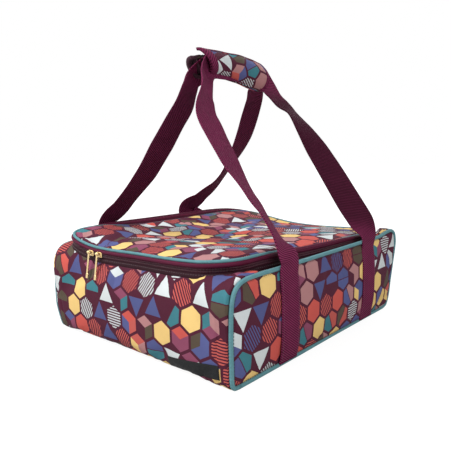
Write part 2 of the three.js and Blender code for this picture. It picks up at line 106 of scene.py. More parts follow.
def linked(name: str, data: Any) -> Piece:
    """Puts a new object with the given data into the scene.

    Args:
        name: The object's name.
        data: Its mesh, curve, camera or lamp.

    Returns:
        The new object.
    """
    made = bpy.data.objects.new(name, data)
    bpy.context.scene.collection.objects.link(made)
    return made


def even(points: Array, count: int, closed: bool = False) -> Array:
    """Spaces points evenly along a polyline.

    Args:
        points: The corners of the polyline.
        count: How many points to give.
        closed: Whether the last corner joins the first.

    Returns:
        An array of count points.
    """
    line = np.vstack([points, points[:1]]) if closed else np.asarray(points, float)
    run = travel(line)
    stops = np.linspace(0, run[-1], count, endpoint=not closed)
    return np.stack([np.interp(stops, run, line[:, k]) for k in range(line.shape[1])], axis=1)


def curve_through(points: Sequence[Sequence[float]], closed: bool = False, fine: int = 16) -> Array:
    """Draws a smooth curve through control points.

    Args:
        points: The control points, of any dimension.
        closed: Whether the curve returns to its start.
        fine: Steps between two control points.

    Returns:
        The dense points of the curve.
    """
    p = np.asarray(points, float)
    ring = np.vstack([p[-1:], p, p[:2]]) if closed else np.vstack([2 * p[0] - p[1], p, 2 * p[-1] - p[-2]])
    gaps = np.sqrt(np.maximum(np.linalg.norm(np.diff(ring, axis=0), axis=1), 1e-9))
    out = []
    for i in range(1, len(ring) - 2):
        before, here, after = gaps[i - 1], gaps[i], gaps[i + 1]
        step = ring[i + 1] - ring[i]
        past, ahead = ring[i] - ring[i - 1], ring[i + 2] - ring[i + 1]
        start = here * (past / before - (ring[i + 1] - ring[i - 1]) / (before + here)) + step
        end = here * (ahead / after - (ring[i + 2] - ring[i]) / (here + after)) + step
        t = np.linspace(0, 1, fine, endpoint=False)[:, None]
        out.append(ring[i] * (2 * t**3 - 3 * t**2 + 1) + start * (t**3 - 2 * t**2 + t)
                   + ring[i + 1] * (3 * t**2 - 2 * t**3) + end * (t**3 - t**2))
    return np.vstack(out if closed else [*out, p[-1:]])


def patch(edge: Array, places: Sequence[Sequence[float]], columns: int, rows: int) -> Array:
    """Fills a closed edge with a grid of quads.

    Args:
        edge: The closed edge, as points.
        places: Four places in order, whose nearest points on the edge become the grid's corners.
        columns: Points along the first side.
        rows: Points along the second side.

    Returns:
        An array of rows by columns of points.
    """
    n = len(edge)
    corners = [int(np.argmin(np.linalg.norm(edge[:, :2] - place, axis=1))) for place in places]
    sides = []
    for k, count in enumerate((columns, rows, columns, rows)):
        first, last = corners[k], corners[(k + 1) % 4]
        last = last if last > first else last + n
        sides.append(even(edge[np.arange(first, last + 1) % n], count))
    low, right, high, left = sides[0], sides[1], sides[2][::-1], sides[3][::-1]
    u = np.linspace(0, 1, columns)[None, :, None]
    v = np.linspace(0, 1, rows)[:, None, None]
    across = (1 - v) * low[None] + v * high[None]
    along = (1 - u) * left[:, None] + u * right[:, None]
    both = ((1 - u) * (1 - v) * low[0] + u * (1 - v) * low[-1] + (1 - u) * v * high[0] + u * v * high[-1])
    return across + along - both


# Node trees

class Sock:
    """A socket of a node tree that can be used in sums."""

    def __init__(self, tree: "Tree", socket: Any) -> None:
        """Keeps the tree and its socket."""
        self.tree = tree
        self.socket = socket

    def also(self, name: str) -> "Sock":
        """Gives another output of the same node."""
        return Sock(self.tree, self.socket.node.outputs[name])

    def math(self, operation: str, *others: Any) -> "Sock":
        """Adds a Math node on this socket and others."""
        return self.tree.node("ShaderNodeMath", {"operation": operation}, dict(enumerate((self, *others))))

    def _swapped(self, operation: str, other: float) -> "Sock":
        """Adds a Math node with this socket in second place."""
        return self.tree.node("ShaderNodeMath", {"operation": operation}, {0: other, 1: self})

    def __add__(self, other: Any) -> "Sock":
        """Sums two values."""
        return self.math("ADD", other)

    __radd__ = __add__

    def __sub__(self, other: Any) -> "Sock":
        """Takes the other value away."""
        return self.math("SUBTRACT", other)

    def __rsub__(self, other: float) -> "Sock":
        """Takes this value away from a number."""
        return self._swapped("SUBTRACT", other)

    def __mul__(self, other: Any) -> "Sock":
        """Multiplies two values."""
        return self.math("MULTIPLY", other)

    __rmul__ = __mul__

    def __truediv__(self, other: Any) -> "Sock":
        """Divides by the other value."""
        return self.math("DIVIDE", other)

    def __rtruediv__(self, other: float) -> "Sock":
        """Divides a number by this value."""
        return self._swapped("DIVIDE", other)

    def __lt__(self, other: Any) -> "Sock":
        """Is 1 where this value is smaller."""
        return self.math("LESS_THAN", other)

    def __gt__(self, other: Any) -> "Sock":
        """Is 1 where this value is larger."""
        return self.math("GREATER_THAN", other)

    def wave(self, pitch: float) -> "Sock":
        """Gives a sine from 0 to 1 that repeats every pitch."""
        return (self * (2 * math.pi / pitch)).math("SINE") * 0.5 + 0.5


class Tree:
    """A node tree, filled by one method."""

    def __init__(self, nodes: Any) -> None:
        """Starts from an empty tree."""
        self.nodes = nodes
        nodes.nodes.clear()

    def node(self, kind: str, settings: dict[str, Any] | None = None,
             inputs: dict[Any, Any] | None = None, output: Any = 0) -> Sock:
        """Adds one node.

        Args:
            kind: The node's type.
            settings: Properties that are set first; "stops" fills a colour ramp.
            inputs: Values or sockets by input name or number.
            output: Which output to give.

        Returns:
            The chosen output.
        """
        made = self.nodes.nodes.new(kind)
        for key, value in (settings or {}).items():
            if key == "stops":
                self._fill_ramp(made.color_ramp, value)
            else:
                setattr(made, key, value)
        for key, value in (inputs or {}).items():
            if isinstance(value, Sock):
                self.nodes.links.new(value.socket, made.inputs[key])
            else:
                made.inputs[key].default_value = value
        return Sock(self, made.outputs[output]) if made.outputs else Sock(self, made.inputs[0])

    @staticmethod
    def _fill_ramp(ramp: Any, stops: Sequence[tuple[float, Colour]]) -> None:
        """Gives a colour ramp hard steps at the given stops.

        Args:
            ramp: The colour ramp.
            stops: Places from 0 to 1 with their colours.
        """
        ramp.interpolation = "CONSTANT"
        while len(ramp.elements) < len(stops):
            ramp.elements.new(1.0)
        for element, (place, colour) in zip(ramp.elements, stops):
            element.position = place
            element.color = colour


class Recipe(Tree):
    """The shader of one finish."""

    def __init__(self, name: str) -> None:
        """Makes an empty material.

        Args:
            name: The material's name.
        """
        self.material = bpy.data.materials.new(name)
        self.material.use_nodes = True
        super().__init__(self.material.node_tree)

    def mix(self, factor: Any, first: Any, second: Any) -> Sock:
        """Blends two colours: 0 gives the first and 1 the second."""
        return self.node("ShaderNodeMix", {"data_type": "RGBA"}, {0: factor, 6: first, 7: second}, 2)

    def noise(self, scale: float, detail: float = 2.0) -> Sock:
        """Gives a soft noise from 0 to 1, in the object's own metres."""
        place = self.node("ShaderNodeTexCoord", output="Object")
        return self.node("ShaderNodeTexNoise", {}, {"Vector": place, "Scale": scale, "Detail": detail}, "Fac")

    def cloth_place(self) -> tuple[Sock, Sock]:
        """Gives the piece's own cloth coordinates, in millimetres.

        Returns:
            The place across and along the cloth.
        """
        place = self.node("ShaderNodeUVMap", {"uv_map": CLOTH_MAP})
        apart = self.node("ShaderNodeSeparateXYZ", inputs={0: place})
        return apart * 1000, apart.also("Y") * 1000

    def close(self, colour: Any, roughness: Any, relief: Sock | None = None, depth: float = 0.0,
              **constants: Any) -> Material:
        """Ends the shader.

        Args:
            colour: The base colour.
            roughness: The roughness.
            relief: A height from 0 to 1, or nothing.
            depth: The height's size in metres.
            constants: Other sockets of the shader by name, with _ for spaces.

        Returns:
            The finished material.
        """
        inputs: dict[str, Any] = {"Base Color": colour, "Roughness": roughness}
        inputs.update({key.replace("_", " "): value for key, value in constants.items()})
        if relief is not None:
            bump = {"Height": relief, "Distance": depth, "Strength": 1.0}
            inputs["Normal"] = self.node("ShaderNodeBump", inputs=bump)
        shader = self.node("ShaderNodeBsdfPrincipled", inputs=inputs)
        self.node("ShaderNodeOutputMaterial", inputs={"Surface": shader})
        return self.material


# Finishes

class Motif(Enum):
    """The flat shapes of the print, with the share of cells that each takes."""

    HEXAGON = (1, 0.21)
    RHOMBS = (2, 0.22)
    HALVES = (3, 0.21)
    BARS = (4, 0.20)
    TRIANGLE = (5, 0.16)


@dataclass(frozen=True)
class PrintCloth:
    """Dark burgundy cloth printed with a honeycomb of small flat shapes."""

    cell: float = 27.0
    inset: float = 0.44
    split: float = 0.02
    triangle: float = 0.262
    bar_pitch: float = 3.1
    thread: float = 0.95
    fading: float = 0.16
    weaving: float = 0.10
    relief: float = 0.00022
    ground: str = "4a1d2e"
    shadow: str = "2a1119"
    inks: tuple[str, ...] = ("c4564d", "e6c37c", "ad7d7d", "86475f", "525a8a", "3b7882", "51483b", "c6cdce",
                             "bd5a52", "4d5583", "cdd4d5")

    def make(self) -> Material:
        """Builds the printed cloth's shader.

        Returns:
            The material.
        """
        r = Recipe("print_cloth")
        u, v = r.cloth_place()
        x, y, key = self._cells(r, u / self.cell, v / self.cell)
        seed = r.node("ShaderNodeTexWhiteNoise", {"noise_dimensions": "3D"}, {"Vector": key}, "Value")
        apart = r.node("ShaderNodeSeparateColor", inputs={0: seed.also("Color")})
        first = self._ink(r, apart)
        second = self._ink(r, apart.also("Green"))
        third = self._ink(r, (apart + apart.also("Green") + 0.37).math("FRACT"))
        colour = self._shapes(r, x, y, seed, apart.also("Blue"), (first, second, third))
        worn = r.noise(55.0, 3.0)
        colour = r.mix(worn * self.fading, colour, ink(self.ground))
        weave = u.wave(self.thread) * v.wave(self.thread)
        colour = r.mix(weave * self.weaving, colour, ink(self.shadow))
        rough = 0.66 + 0.16 * r.noise(240.0)
        return r.close(colour, rough, weave * 0.6 + worn * 0.4, self.relief, Specular_IOR_Level=0.1)

    def _cells(self, r: Recipe, x: Sock, y: Sock) -> tuple[Sock, Sock, Sock]:
        """Splits the cloth into a honeycomb.

        Args:
            r: The shader.
            x: Place across, in cells.
            y: Place along, in cells.

        Returns:
            The place in the cell, across and along, and the cell's own number.
        """
        row = math.sqrt(3)
        tall = y / row
        ax, ay = x.math("FRACT") - 0.5, (tall.math("FRACT") - 0.5) * row
        bx, by = (x + 0.5).math("FRACT") - 0.5, ((tall + 0.5).math("FRACT") - 0.5) * row
        other = (ax * ax + ay * ay) > (bx * bx + by * by)
        i = x.math("FLOOR") + other * ((x + 0.5).math("FLOOR") + 0.5 - x.math("FLOOR"))
        j = tall.math("FLOOR") + other * ((tall + 0.5).math("FLOOR") + 0.5 - tall.math("FLOOR"))
        key = r.node("ShaderNodeCombineXYZ", inputs={0: i, 1: j, 2: 7.0})
        return ax + other * (bx - ax), ay + other * (by - ay), key

    def _ink(self, r: Recipe, pick: Sock) -> Sock:
        """Picks one of the inks by a number from 0 to 1."""
        stops = [(k / len(self.inks), ink(code)) for k, code in enumerate(self.inks)]
        return r.node("ShaderNodeValToRGB", {"stops": stops}, {0: pick})

    def _shapes(self, r: Recipe, x: Sock, y: Sock, seed: Sock, turn: Sock,
                inks: tuple[Sock, Sock, Sock]) -> Sock:
        """Draws one shape in each cell.

        Args:
            r: The shader.
            x: Place across the cell.
            y: Place along the cell.
            seed: The cell's choice of shape.
            turn: The cell's choice of turn.
            inks: Three inks for the cell.

        Returns:
            The printed colour.
        """
        flat = r.node("ShaderNodeCombineXYZ", inputs={0: x, 1: y})
        angle = (turn * 6).math("FLOOR") * (math.pi / 3)
        turned = r.node("ShaderNodeVectorRotate", {"rotation_type": "Z_AXIS"},
                        {"Vector": flat, "Angle": angle})
        apart = r.node("ShaderNodeSeparateXYZ", inputs={0: turned})
        p, q = apart, apart.also("Y")
        wide, tall = p.math("ABSOLUTE"), q.math("ABSOLUTE")
        half, slope = 0.5, 0.866
        inside = wide.math("MAXIMUM", wide * half + tall * slope) < self.inset
        sector = ((q.math("ARCTAN2", p) / (2 * math.pi) + 0.75).math("FRACT") * 3).math("FLOOR")
        bars = (q * (self.cell / self.bar_pitch)).math("FRACT") < 0.5
        corner = (q * -1.0).math("MAXIMUM", q * half + wide * slope) < self.triangle
        chosen, start = {}, 0.0
        for motif in Motif:
            share = motif.value[1]
            chosen[motif] = (seed > start) * (seed < start + share)
            start += share
        first = (chosen[Motif.HEXAGON] * inside + chosen[Motif.BARS] * inside * bars
                 + chosen[Motif.TRIANGLE] * corner + chosen[Motif.HALVES] * inside * (q > self.split)
                 + chosen[Motif.RHOMBS] * inside * (sector < 0.5))
        second = (chosen[Motif.HALVES] * inside * (q < -self.split) * (turn > 0.5)
                  + chosen[Motif.RHOMBS] * inside * (sector > 1.5))
        third = chosen[Motif.RHOMBS] * inside * (sector > 0.5) * (sector < 1.5) * (turn > 0.4)
        ground = r.mix(first, ink(self.ground), inks[0])
        return r.mix(third, r.mix(second, ground, inks[1]), inks[2])


@dataclass(frozen=True)
class Webbing:
    """Maroon webbing with a diagonal twill, darkened with painted shade where its shade attribute marks the
    free legs that turn from the light.
    """

    rib: float = 2.7
    slant: float = 0.7
    pale: str = "8c335c"
    deep: str = "2a0818"
    shaded: str = "210711"

    def make(self) -> Material:
        """Builds the webbing's shader.

        Returns:
            The material.
        """
        r = Recipe("webbing")
        u, v = r.cloth_place()
        rib = (v + u * self.slant).wave(self.rib)
        yarn = u.wave(1.1) * 0.35 + v.wave(0.8) * 0.25
        worn = r.noise(70.0, 3.0)
        tone = (rib * 0.7 + yarn * 0.3 + worn * 0.3 - 0.16).math("MAXIMUM", 0.0).math("MINIMUM", 1.0)
        colour = r.mix(tone, ink(self.deep), ink(self.pale))
        # Painted shade: the shade attribute mixes the free legs toward the shaded colour, standing in for
        # legs that face away from the light.
        shade = r.node("ShaderNodeAttribute", {"attribute_name": SHADE}, output="Fac")
        colour = r.mix(shade, colour, ink(self.shaded))
        return r.close(colour, 0.72 + 0.2 * worn, rib * 0.8 + yarn * 0.3, 0.0006, Specular_IOR_Level=0.07)


@dataclass(frozen=True)
class ZipTape:
    """Ribbed maroon tape with a slight shine."""

    name: str = "zip_tape"
    pale: str = "66173a"
    deep: str = "330a1b"
    rib: float = 1.5

    def make(self) -> Material:
        """Builds the tape's shader.

        Returns:
            The material.
        """
        r = Recipe(self.name)
        u, v = r.cloth_place()
        ribs = v.wave(self.rib)
        yarn = u.wave(0.8)
        worn = r.noise(90.0, 3.0)
        colour = r.mix(ribs * 0.5 + worn * 0.4, ink(self.deep), ink(self.pale))
        return r.close(colour, 0.5 + 0.2 * worn, ribs * 0.7 + yarn * 0.3, 0.0003, Specular_IOR_Level=0.12)


@dataclass(frozen=True)
class PipingCloth:
    """Dull teal cloth wound over a cord."""

    pale: str = "6a979d"
    deep: str = "3f6b72"

    def make(self) -> Material:
        """Builds the piping's shader.

        Returns:
            The material.
        """
        r = Recipe("piping")
        along = r.node("ShaderNodeAttribute", {"attribute_name": ALONG}, output="Fac") * 1000
        around = r.node("ShaderNodeAttribute", {"attribute_name": AROUND}, output="Fac")
        twill = (along + around * 14.0).wave(1.4)
        pucker = along.wave(3.4)
        worn = r.noise(120.0, 3.0)
        tone = (twill * 0.35 + worn * 0.6).math("MINIMUM", 1.0)
        colour = r.mix(tone, ink(self.deep), ink(self.pale))
        return r.close(colour, 0.6 + 0.2 * worn, twill * 0.35 + pucker * 0.5, 0.0003,
                       Sheen_Weight=0.02, Specular_IOR_Level=0.16)


@dataclass(frozen=True)
class Plain:
    """A finish of two near tones with a fine grain, whose depth is in metres."""

    name: str
    pale: str
    deep: str
    rough: Pair
    grain: float
    depth: float
    metal: float = 0.0
    sheen: float = 0.0

    def make(self) -> Material:
        """Builds the finish's shader.

        Returns:
            The material.
        """
        r = Recipe(self.name)
        fine = r.noise(self.grain, 4.0)
        broad = r.noise(self.grain * 0.12, 2.0)
        colour = r.mix(fine * 0.5 + broad * 0.5, ink(self.deep), ink(self.pale))
        low, high = self.rough
        return r.close(colour, low + (high - low) * fine, fine * 0.7 + broad * 0.3, self.depth,
                       Metallic=self.metal, Sheen_Weight=self.sheen)


@dataclass(frozen=True)
class FoilLining:
    """Silver foil-faced lining, lightly crumpled."""

    def make(self) -> Material:
        """Builds the lining's shader.

        Returns:
            The material.
        """
        r = Recipe("lining")
        crumple = r.node("ShaderNodeTexVoronoi", {"feature": "DISTANCE_TO_EDGE"},
                         {"Vector": r.node("ShaderNodeTexCoord", output="Object"), "Scale": 60.0}, "Distance")
        creased = (crumple * 4.0).math("MINIMUM", 1.0)
        fine = r.noise(260.0, 3.0)
        # Painted shade: the colour darkens along the creases; the creases also drive the bump.
        colour = r.mix(fine * 0.4 + creased * 0.3, ink("a7abb0"), ink("d4d7da"))
        return r.close(colour, 0.3 + 0.18 * fine, creased * 0.7 + fine * 0.3, 0.0006, Metallic=0.55)


@dataclass(frozen=True)
class WovenLabel:
    """A bare black label with a fine satin rib."""

    def make(self) -> Material:
        """Builds the label's shader.

        Returns:
            The material.
        """
        r = Recipe("label")
        u, v = r.cloth_place()
        ribs = v.wave(0.7) * 0.6 + u.wave(0.5) * 0.4
        fine = r.noise(300.0)
        colour = r.mix(ribs * 0.4 + fine * 0.3, ink("0b0c0d"), ink("1f2123"))
        return r.close(colour, 0.6 + 0.2 * fine, ribs, 0.0002, Specular_IOR_Level=0.2)


class Finish(Enum):
    """Every finish on the carrier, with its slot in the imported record."""

    PRINT = ("print_cloth", PrintCloth())
    WEBBING = ("webbing", Webbing())
    TAPE = ("zip_tape", ZipTape())
    # Painted shade: the lower tape's finish is nearly black for the shadow under the lid's overhanging band.
    DARK_TAPE = ("zip_tape", ZipTape("dark_zip_tape", "34101d", "17060c"))
    PIPING = ("piping", PipingCloth())
    COIL = ("zip_coil", Plain("zip_coil", "4c152a", "2c0b18", (0.34, 0.5), 300.0, 0.00005))
    GOLD = ("gold_metal", Plain("gold_metal", "f1dcae", "d8b878", (0.2, 0.36), 420.0, 0.00002, metal=1.0))
    LINING = ("lining", FoilLining())
    BOARD = ("board", Plain("board", "3a3b3e", "242527", (0.5, 0.7), 900.0, 0.00015))
    LABEL = ("label", WovenLabel())
    GRIPPY = ("hook_and_loop",
              Plain("hook_and_loop", "232325", "0e0e0f", (0.8, 0.95), 1600.0, 0.0006, sheen=0.3))
    # Painted shade: a dark binding finish for the shadowed inside of the left grip's hood.
    SHADED = ("webbing", Plain("dark_binding", "41132a", "1f0812", (0.75, 0.95), 700.0, 0.0003))
    RED_THREAD = ("webbing",
                  Plain("maroon_thread", "6a2544", "43142a", (0.5, 0.7), 1500.0, 0.00005, sheen=0.2))
    DARK_THREAD = ("print_cloth",
                   Plain("dark_thread", "3a1826", "241018", (0.5, 0.7), 1500.0, 0.00005, sheen=0.2))

    @property
    def slot(self) -> str:
        """The record's material slot."""
        return self.value[0]

    @cached_property
    def material(self) -> Material:
        """The finish's material, made on first use."""
        return self.value[1].make()


# Meshes

@dataclass
class Form:
    """Points in millimetres, faces and cloth coordinates that become one mesh."""

    points: list[Array] = field(default_factory=list)
    faces: list[tuple[int, ...]] = field(default_factory=list)
    marks: list[Pair] = field(default_factory=list)
    count: int = 0

    def grid(self, points: Array, uv: Array, wrap: bool = False, flip: bool = False) -> "Form":
        """Adds a sheet of quads.

        Args:
            points: Rows by columns of points.
            uv: Cloth coordinates in millimetres; one column more when the sheet wraps.
            wrap: Whether the last column joins the first.
            flip: Whether to turn the faces round.

        Returns:
            This form.
        """
        rows, columns = points.shape[:2]
        for i in range(rows - 1):
            for j in range(columns if wrap else columns - 1):
                k = (j + 1) % columns
                quad = [(i, j, j), (i, k, j + 1), (i + 1, k, j + 1), (i + 1, j, j)]
                quad = quad[::-1] if flip else quad
                self.faces.append(tuple(self.count + a * columns + b for a, b, _ in quad))
                self.marks.extend(tuple(uv[a, c] * MM) for a, _, c in quad)
        self._store(points.reshape(-1, 3))
        return self

    def fan(self, ring: Array, uv: Array, flip: bool = False) -> "Form":
        """Closes a ring of points with one face.

        Args:
            ring: The ring's points.
            uv: Their cloth coordinates, in millimetres.
            flip: Whether to turn the face round.

        Returns:
            This form.
        """
        order = list(range(len(ring)))
        order = order[::-1] if flip else order
        self.faces.append(tuple(self.count + k for k in order))
        self.marks.extend(tuple(uv[k] * MM) for k in order)
        self._store(ring)
        return self

    def tube(self, points: Array, uv: Array) -> "Form":
        """Adds a sleeve, of which each row is a ring, with a face over each end."""
        self.grid(points, uv, wrap=True).fan(points[0], uv[0, :-1], flip=True)
        return self.fan(points[-1], uv[-1, :-1])

    def join(self, other: "Form") -> None:
        """Takes over another form's points and faces.

        Args:
            other: The form to take over.
        """
        self.faces.extend(tuple(self.count + k for k in face) for face in other.faces)
        self.marks.extend(other.marks)
        for points in other.points:
            self._store(points)

    def block(self, low: Sequence[float], high: Sequence[float], bevel: float, steps: int = 3) -> "Form":
        """Adds a box with rounded edges.

        Args:
            low: Its lowest corner.
            high: Its highest corner.
            bevel: The radius of its edges.
            steps: Faces across each rounded edge.

        Returns:
            This form.
        """
        bm = bmesh.new()
        bmesh.ops.create_cube(bm, size=1.0)
        size = Vector(high) - Vector(low)
        middle = (Vector(high) + Vector(low)) / 2
        for vert in bm.verts:
            vert.co = Vector(a * b for a, b in zip(vert.co, size)) + middle
        bmesh.ops.bevel(bm, geom=list(bm.edges), offset=bevel, segments=steps, profile=0.5, affect="EDGES")
        return self.copied(bm)

    def rod(self, start: Sequence[float], end: Sequence[float], radius: float, sides: int = 16) -> "Form":
        """Adds a round bar with rounded ends between two points.

        Args:
            start: The middle of one end.
            end: The middle of the other end.
            radius: The bar's radius.
            sides: Faces round the bar.

        Returns:
            This form.
        """
        a, b = np.asarray(start, float), np.asarray(end, float)
        along = unit(b - a)
        side = unit(np.cross(along, [0.31, 0.57, 0.76]))
        up = np.cross(along, side)
        turn = np.linspace(0, 2 * math.pi, sides, endpoint=False)
        circle = np.cos(turn)[:, None] * side + np.sin(turn)[:, None] * up
        shape = [(0.0, 0.35), (0.0, 0.8), (0.25, 1.0)]
        rings = [a + along * radius * d + circle * radius * w for d, w in shape]
        rings += [b - along * radius * d + circle * radius * w for d, w in shape[::-1]]
        return self.tube(np.array(rings), np.zeros((len(rings), sides + 1, 2)))

    def copied(self, bm: bmesh.types.BMesh) -> "Form":
        """Takes over the faces of an edited mesh, in millimetres.

        Args:
            bm: The edited mesh, freed afterwards.

        Returns:
            This form.
        """
        bm.verts.ensure_lookup_table()
        for face in bm.faces:
            self.faces.append(tuple(self.count + v.index for v in face.verts))
            self.marks.extend((v.co.x * MM, v.co.z * MM) for v in face.verts)
        self._store(np.array([v.co for v in bm.verts]))
        bm.free()
        return self

    def _store(self, points: Array) -> None:
        """Appends points and counts them."""
        self.points.append(np.asarray(points, float))
        self.count += len(points)

    def mesh(self, name: str) -> bpy.types.Mesh:
        """Makes the Blender mesh, in metres, with its cloth map.

        Args:
            name: The mesh's name.

        Returns:
            The mesh.
        """
        made = bpy.data.meshes.new(name)
        made.from_pydata((np.vstack(self.points) * MM).tolist(), [], self.faces)
        layer = made.uv_layers.new(name=CLOTH_MAP)
        layer.data.foreach_set("uv", np.asarray(self.marks, np.float32).ravel())
        made.polygons.foreach_set("use_smooth", [True] * len(made.polygons))
        made.update()
        return made


@dataclass(frozen=True)
class Filling:
    """How a padded cloth is filled.

    The filling pushes with a pressure until it has moved a point by its reach, in millimetres. The cloth is
    longer than its seams by a spare share, and settles for some frames.
    """

    pressure: float
    reach: float
    spare: float = 0.012
    frames: int = 20

    def settings(self) -> dict[str, Any]:
        """Gives the cloth simulation's settings by name.

        Returns:
            Each setting of the cloth modifier with its value.
        """
        return {"quality": 6, "mass": 0.12, "tension_stiffness": 25, "compression_stiffness": 25,
                "shear_stiffness": 12, "bending_stiffness": 1.2, "vertex_group_mass": SEWN,
                "shrink_min": -self.spare, "use_pressure": True, "uniform_pressure_force": self.pressure}


@dataclass
class Bench:
    """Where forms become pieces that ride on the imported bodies."""

    made: list[str] = field(default_factory=list)

    def place(self, name: str, mesh: bpy.types.Mesh, finish: Finish) -> Piece:
        """Puts a mesh into the scene with one finish.

        Args:
            name: The piece's name.
            mesh: Its mesh, in metres.
            finish: Its finish.

        Returns:
            The new object.
        """
        piece = linked(name, mesh)
        mesh.materials.clear()
        mesh.materials.append(finish.material)
        return piece

    def sewn(self, name: str, form: Form, finish: Finish, closed: bool = True) -> Piece:
        """Makes a piece from a form.

        Args:
            name: The piece's name.
            form: Its points and faces.
            finish: Its finish.
            closed: Whether it is a closed body, whose faces are turned outward.

        Returns:
            The new object.
        """
        mesh = form.mesh(name)
        if closed:
            bm = bmesh.new()
            bm.from_mesh(mesh)
            bmesh.ops.remove_doubles(bm, verts=list(bm.verts), dist=1e-6)
            bmesh.ops.recalc_face_normals(bm, faces=list(bm.faces))
            bm.to_mesh(mesh)
            bm.free()
        return self.place(name, mesh, finish)

    def rides(self, piece: Piece, body: str, *nodes: str) -> Piece:
        """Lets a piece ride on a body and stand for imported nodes.

        Args:
            piece: The piece.
            body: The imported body.
            nodes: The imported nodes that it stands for.

        Returns:
            The piece.
        """
        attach(piece, body)
        if nodes:
            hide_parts(*nodes)
        self.report(piece, body)
        return piece

    def report(self, piece: Piece, body: str) -> None:
        """Counts a finished piece and says what it rides on."""
        self.made.append(piece.name)
        log.info("%s rides on %s, %d faces", piece.name, body, len(piece.data.polygons))

    @staticmethod
    def thicken(piece: Piece, thickness: float) -> None:
        """Gives an open sheet its wall, inward from its outer face.

        Args:
            piece: The sheet.
            thickness: The wall's thickness, in millimetres.
        """
        wall = piece.modifiers.new("wall", "SOLIDIFY")
        wall.thickness = thickness * MM
        wall.offset = -1.0
        wall.use_quality_normals = True

    def panel(self, name: str, points: Array, uv: Array, finish: Finish,
              outward: Sequence[float]) -> Piece:
        """Makes an open sheet that looks one way.

        Args:
            name: The piece's name.
            points: Rows by columns of points.
            uv: Their cloth coordinates, in millimetres.
            finish: Its finish.
            outward: The way that its faces look.

        Returns:
            The new object.
        """
        piece = self.sewn(name, Form().grid(points, uv), finish, closed=False)
        total = Vector((0, 0, 0))
        for face in piece.data.polygons:
            total += face.normal * face.area
        if total.dot(Vector(outward)) < 0:
            piece.data.flip_normals()
        return piece

    @staticmethod
    def settle(piece: Piece, shape: tuple[int, ...], filling: Filling) -> None:
        """Lets a padded cloth, sewn along its edge, swell and wrinkle.

        Args:
            piece: The sheet.
            shape: The rows and columns of its points.
            filling: How it is filled.
        """
        pins = np.ones(shape, bool)
        pins[1:-1, 1:-1] = False
        group = piece.vertex_groups.new(name=SEWN)
        group.add(np.flatnonzero(pins).tolist(), 1.0, "REPLACE")
        cloth = piece.modifiers.new("settle", "CLOTH")
        for key, value in filling.settings().items():
            setattr(cloth.settings, key, value)
        cloth.settings.effector_weights.gravity = 0
        cloth.point_cache.frame_start = 1
        cloth.point_cache.frame_end = filling.frames
        scene = bpy.context.scene
        start = np.array([v.co for v in piece.data.vertices])
        for step in range(1, filling.frames + 1):
            scene.frame_set(step)
        seen = piece.evaluated_get(bpy.context.evaluated_depsgraph_get())
        moved = np.array([v.co for v in seen.data.vertices]) - start
        far = np.linalg.norm(moved, axis=1, keepdims=True)
        limit = filling.reach * MM
        moved *= np.where(far > 1e-9, limit * np.tanh(far / limit) / np.maximum(far, 1e-9), 0)
        piece.modifiers.remove(cloth)
        piece.vertex_groups.clear()
        piece.data.vertices.foreach_set("co", (start + moved).astype(np.float32).ravel())
        piece.data.update()
        scene.frame_set(1)


# Rows and cords that follow a path

ROW_SIZES = ("Pitch", "Length", "Width", "Height")


def surface(piece: Piece) -> BVHTree:
    """Gives a piece's outer face to shoot rays at, in millimetres."""
    points = [v.co / MM for v in piece.data.vertices]
    return BVHTree.FromPolygons(points, [tuple(p.vertices) for p in piece.data.polygons])


class Repeat(Tree):
    """A Geometry Nodes tree for what follows a path, with named sizes."""

    def __init__(self, name: str, sizes: Iterable[str]) -> None:
        """Makes the tree with one number for each named size, and a material.

        Args:
            name: The tree's name.
            sizes: The names of its sizes.
        """
        super().__init__(bpy.data.node_groups.new(name, "GeometryNodeTree"))
        face = self.nodes.interface
        face.new_socket("Path", in_out="INPUT", socket_type="NodeSocketGeometry")
        for size in sizes:
            face.new_socket(size, in_out="INPUT", socket_type="NodeSocketFloat")
        face.new_socket("Finish", in_out="INPUT", socket_type="NodeSocketMaterial")
        face.new_socket("Piece", in_out="OUTPUT", socket_type="NodeSocketGeometry")
        self.given = self.node("NodeGroupInput", output="Path")

    def end(self, shape: Sock) -> None:
        """Ends the tree in one plain mesh with its material.

        Args:
            shape: What the tree has made.
        """
        real = self.node("GeometryNodeRealizeInstances", inputs={0: shape})
        soft = self.node("GeometryNodeSetShadeSmooth", inputs={0: real})
        dressed = self.node("GeometryNodeSetMaterial",
                            inputs={"Geometry": soft, "Material": self.given.also("Finish")})
        self.node("NodeGroupOutput", inputs={0: dressed})

    def run(self, bench: Bench, name: str, paths: Sequence[Array], closed: bool, finish: Finish,
            sizes: dict[str, float]) -> Piece:
        """Runs the tree along paths and keeps the result as a plain mesh.

        Args:
            bench: Where pieces are made.
            name: The piece's name.
            paths: Points of each path, in millimetres.
            closed: Whether the paths are loops.
            finish: The piece's finish.
            sizes: The named sizes, with lengths in metres.

        Returns:
            The new object.
        """
        data = bpy.data.curves.new(name + "_path", "CURVE")
        data.dimensions = "3D"
        for points in paths:
            spline = data.splines.new("POLY")
            spline.points.add(len(points) - 1)
            flat = np.c_[np.asarray(points) * MM, np.ones(len(points))]
            spline.points.foreach_set("co", flat.astype(np.float32).ravel())
            spline.use_cyclic_u = closed
        guide = linked(name + "_path", data)
        work = guide.modifiers.new("repeat", "NODES")
        work.node_group = self.nodes
        inputs = {s.name: s.identifier for s in self.nodes.interface.items_tree if s.in_out == "INPUT"}
        for size, value in sizes.items():
            work[inputs[size]] = value
        work[inputs["Finish"]] = finish.material
        graph = bpy.context.evaluated_depsgraph_get()
        mesh = bpy.data.meshes.new_from_object(guide.evaluated_get(graph), preserve_all_data_layers=True,
                                               depsgraph=graph)
        bpy.data.objects.remove(guide)
        mesh.name = name
        return bench.place(name, mesh, finish)


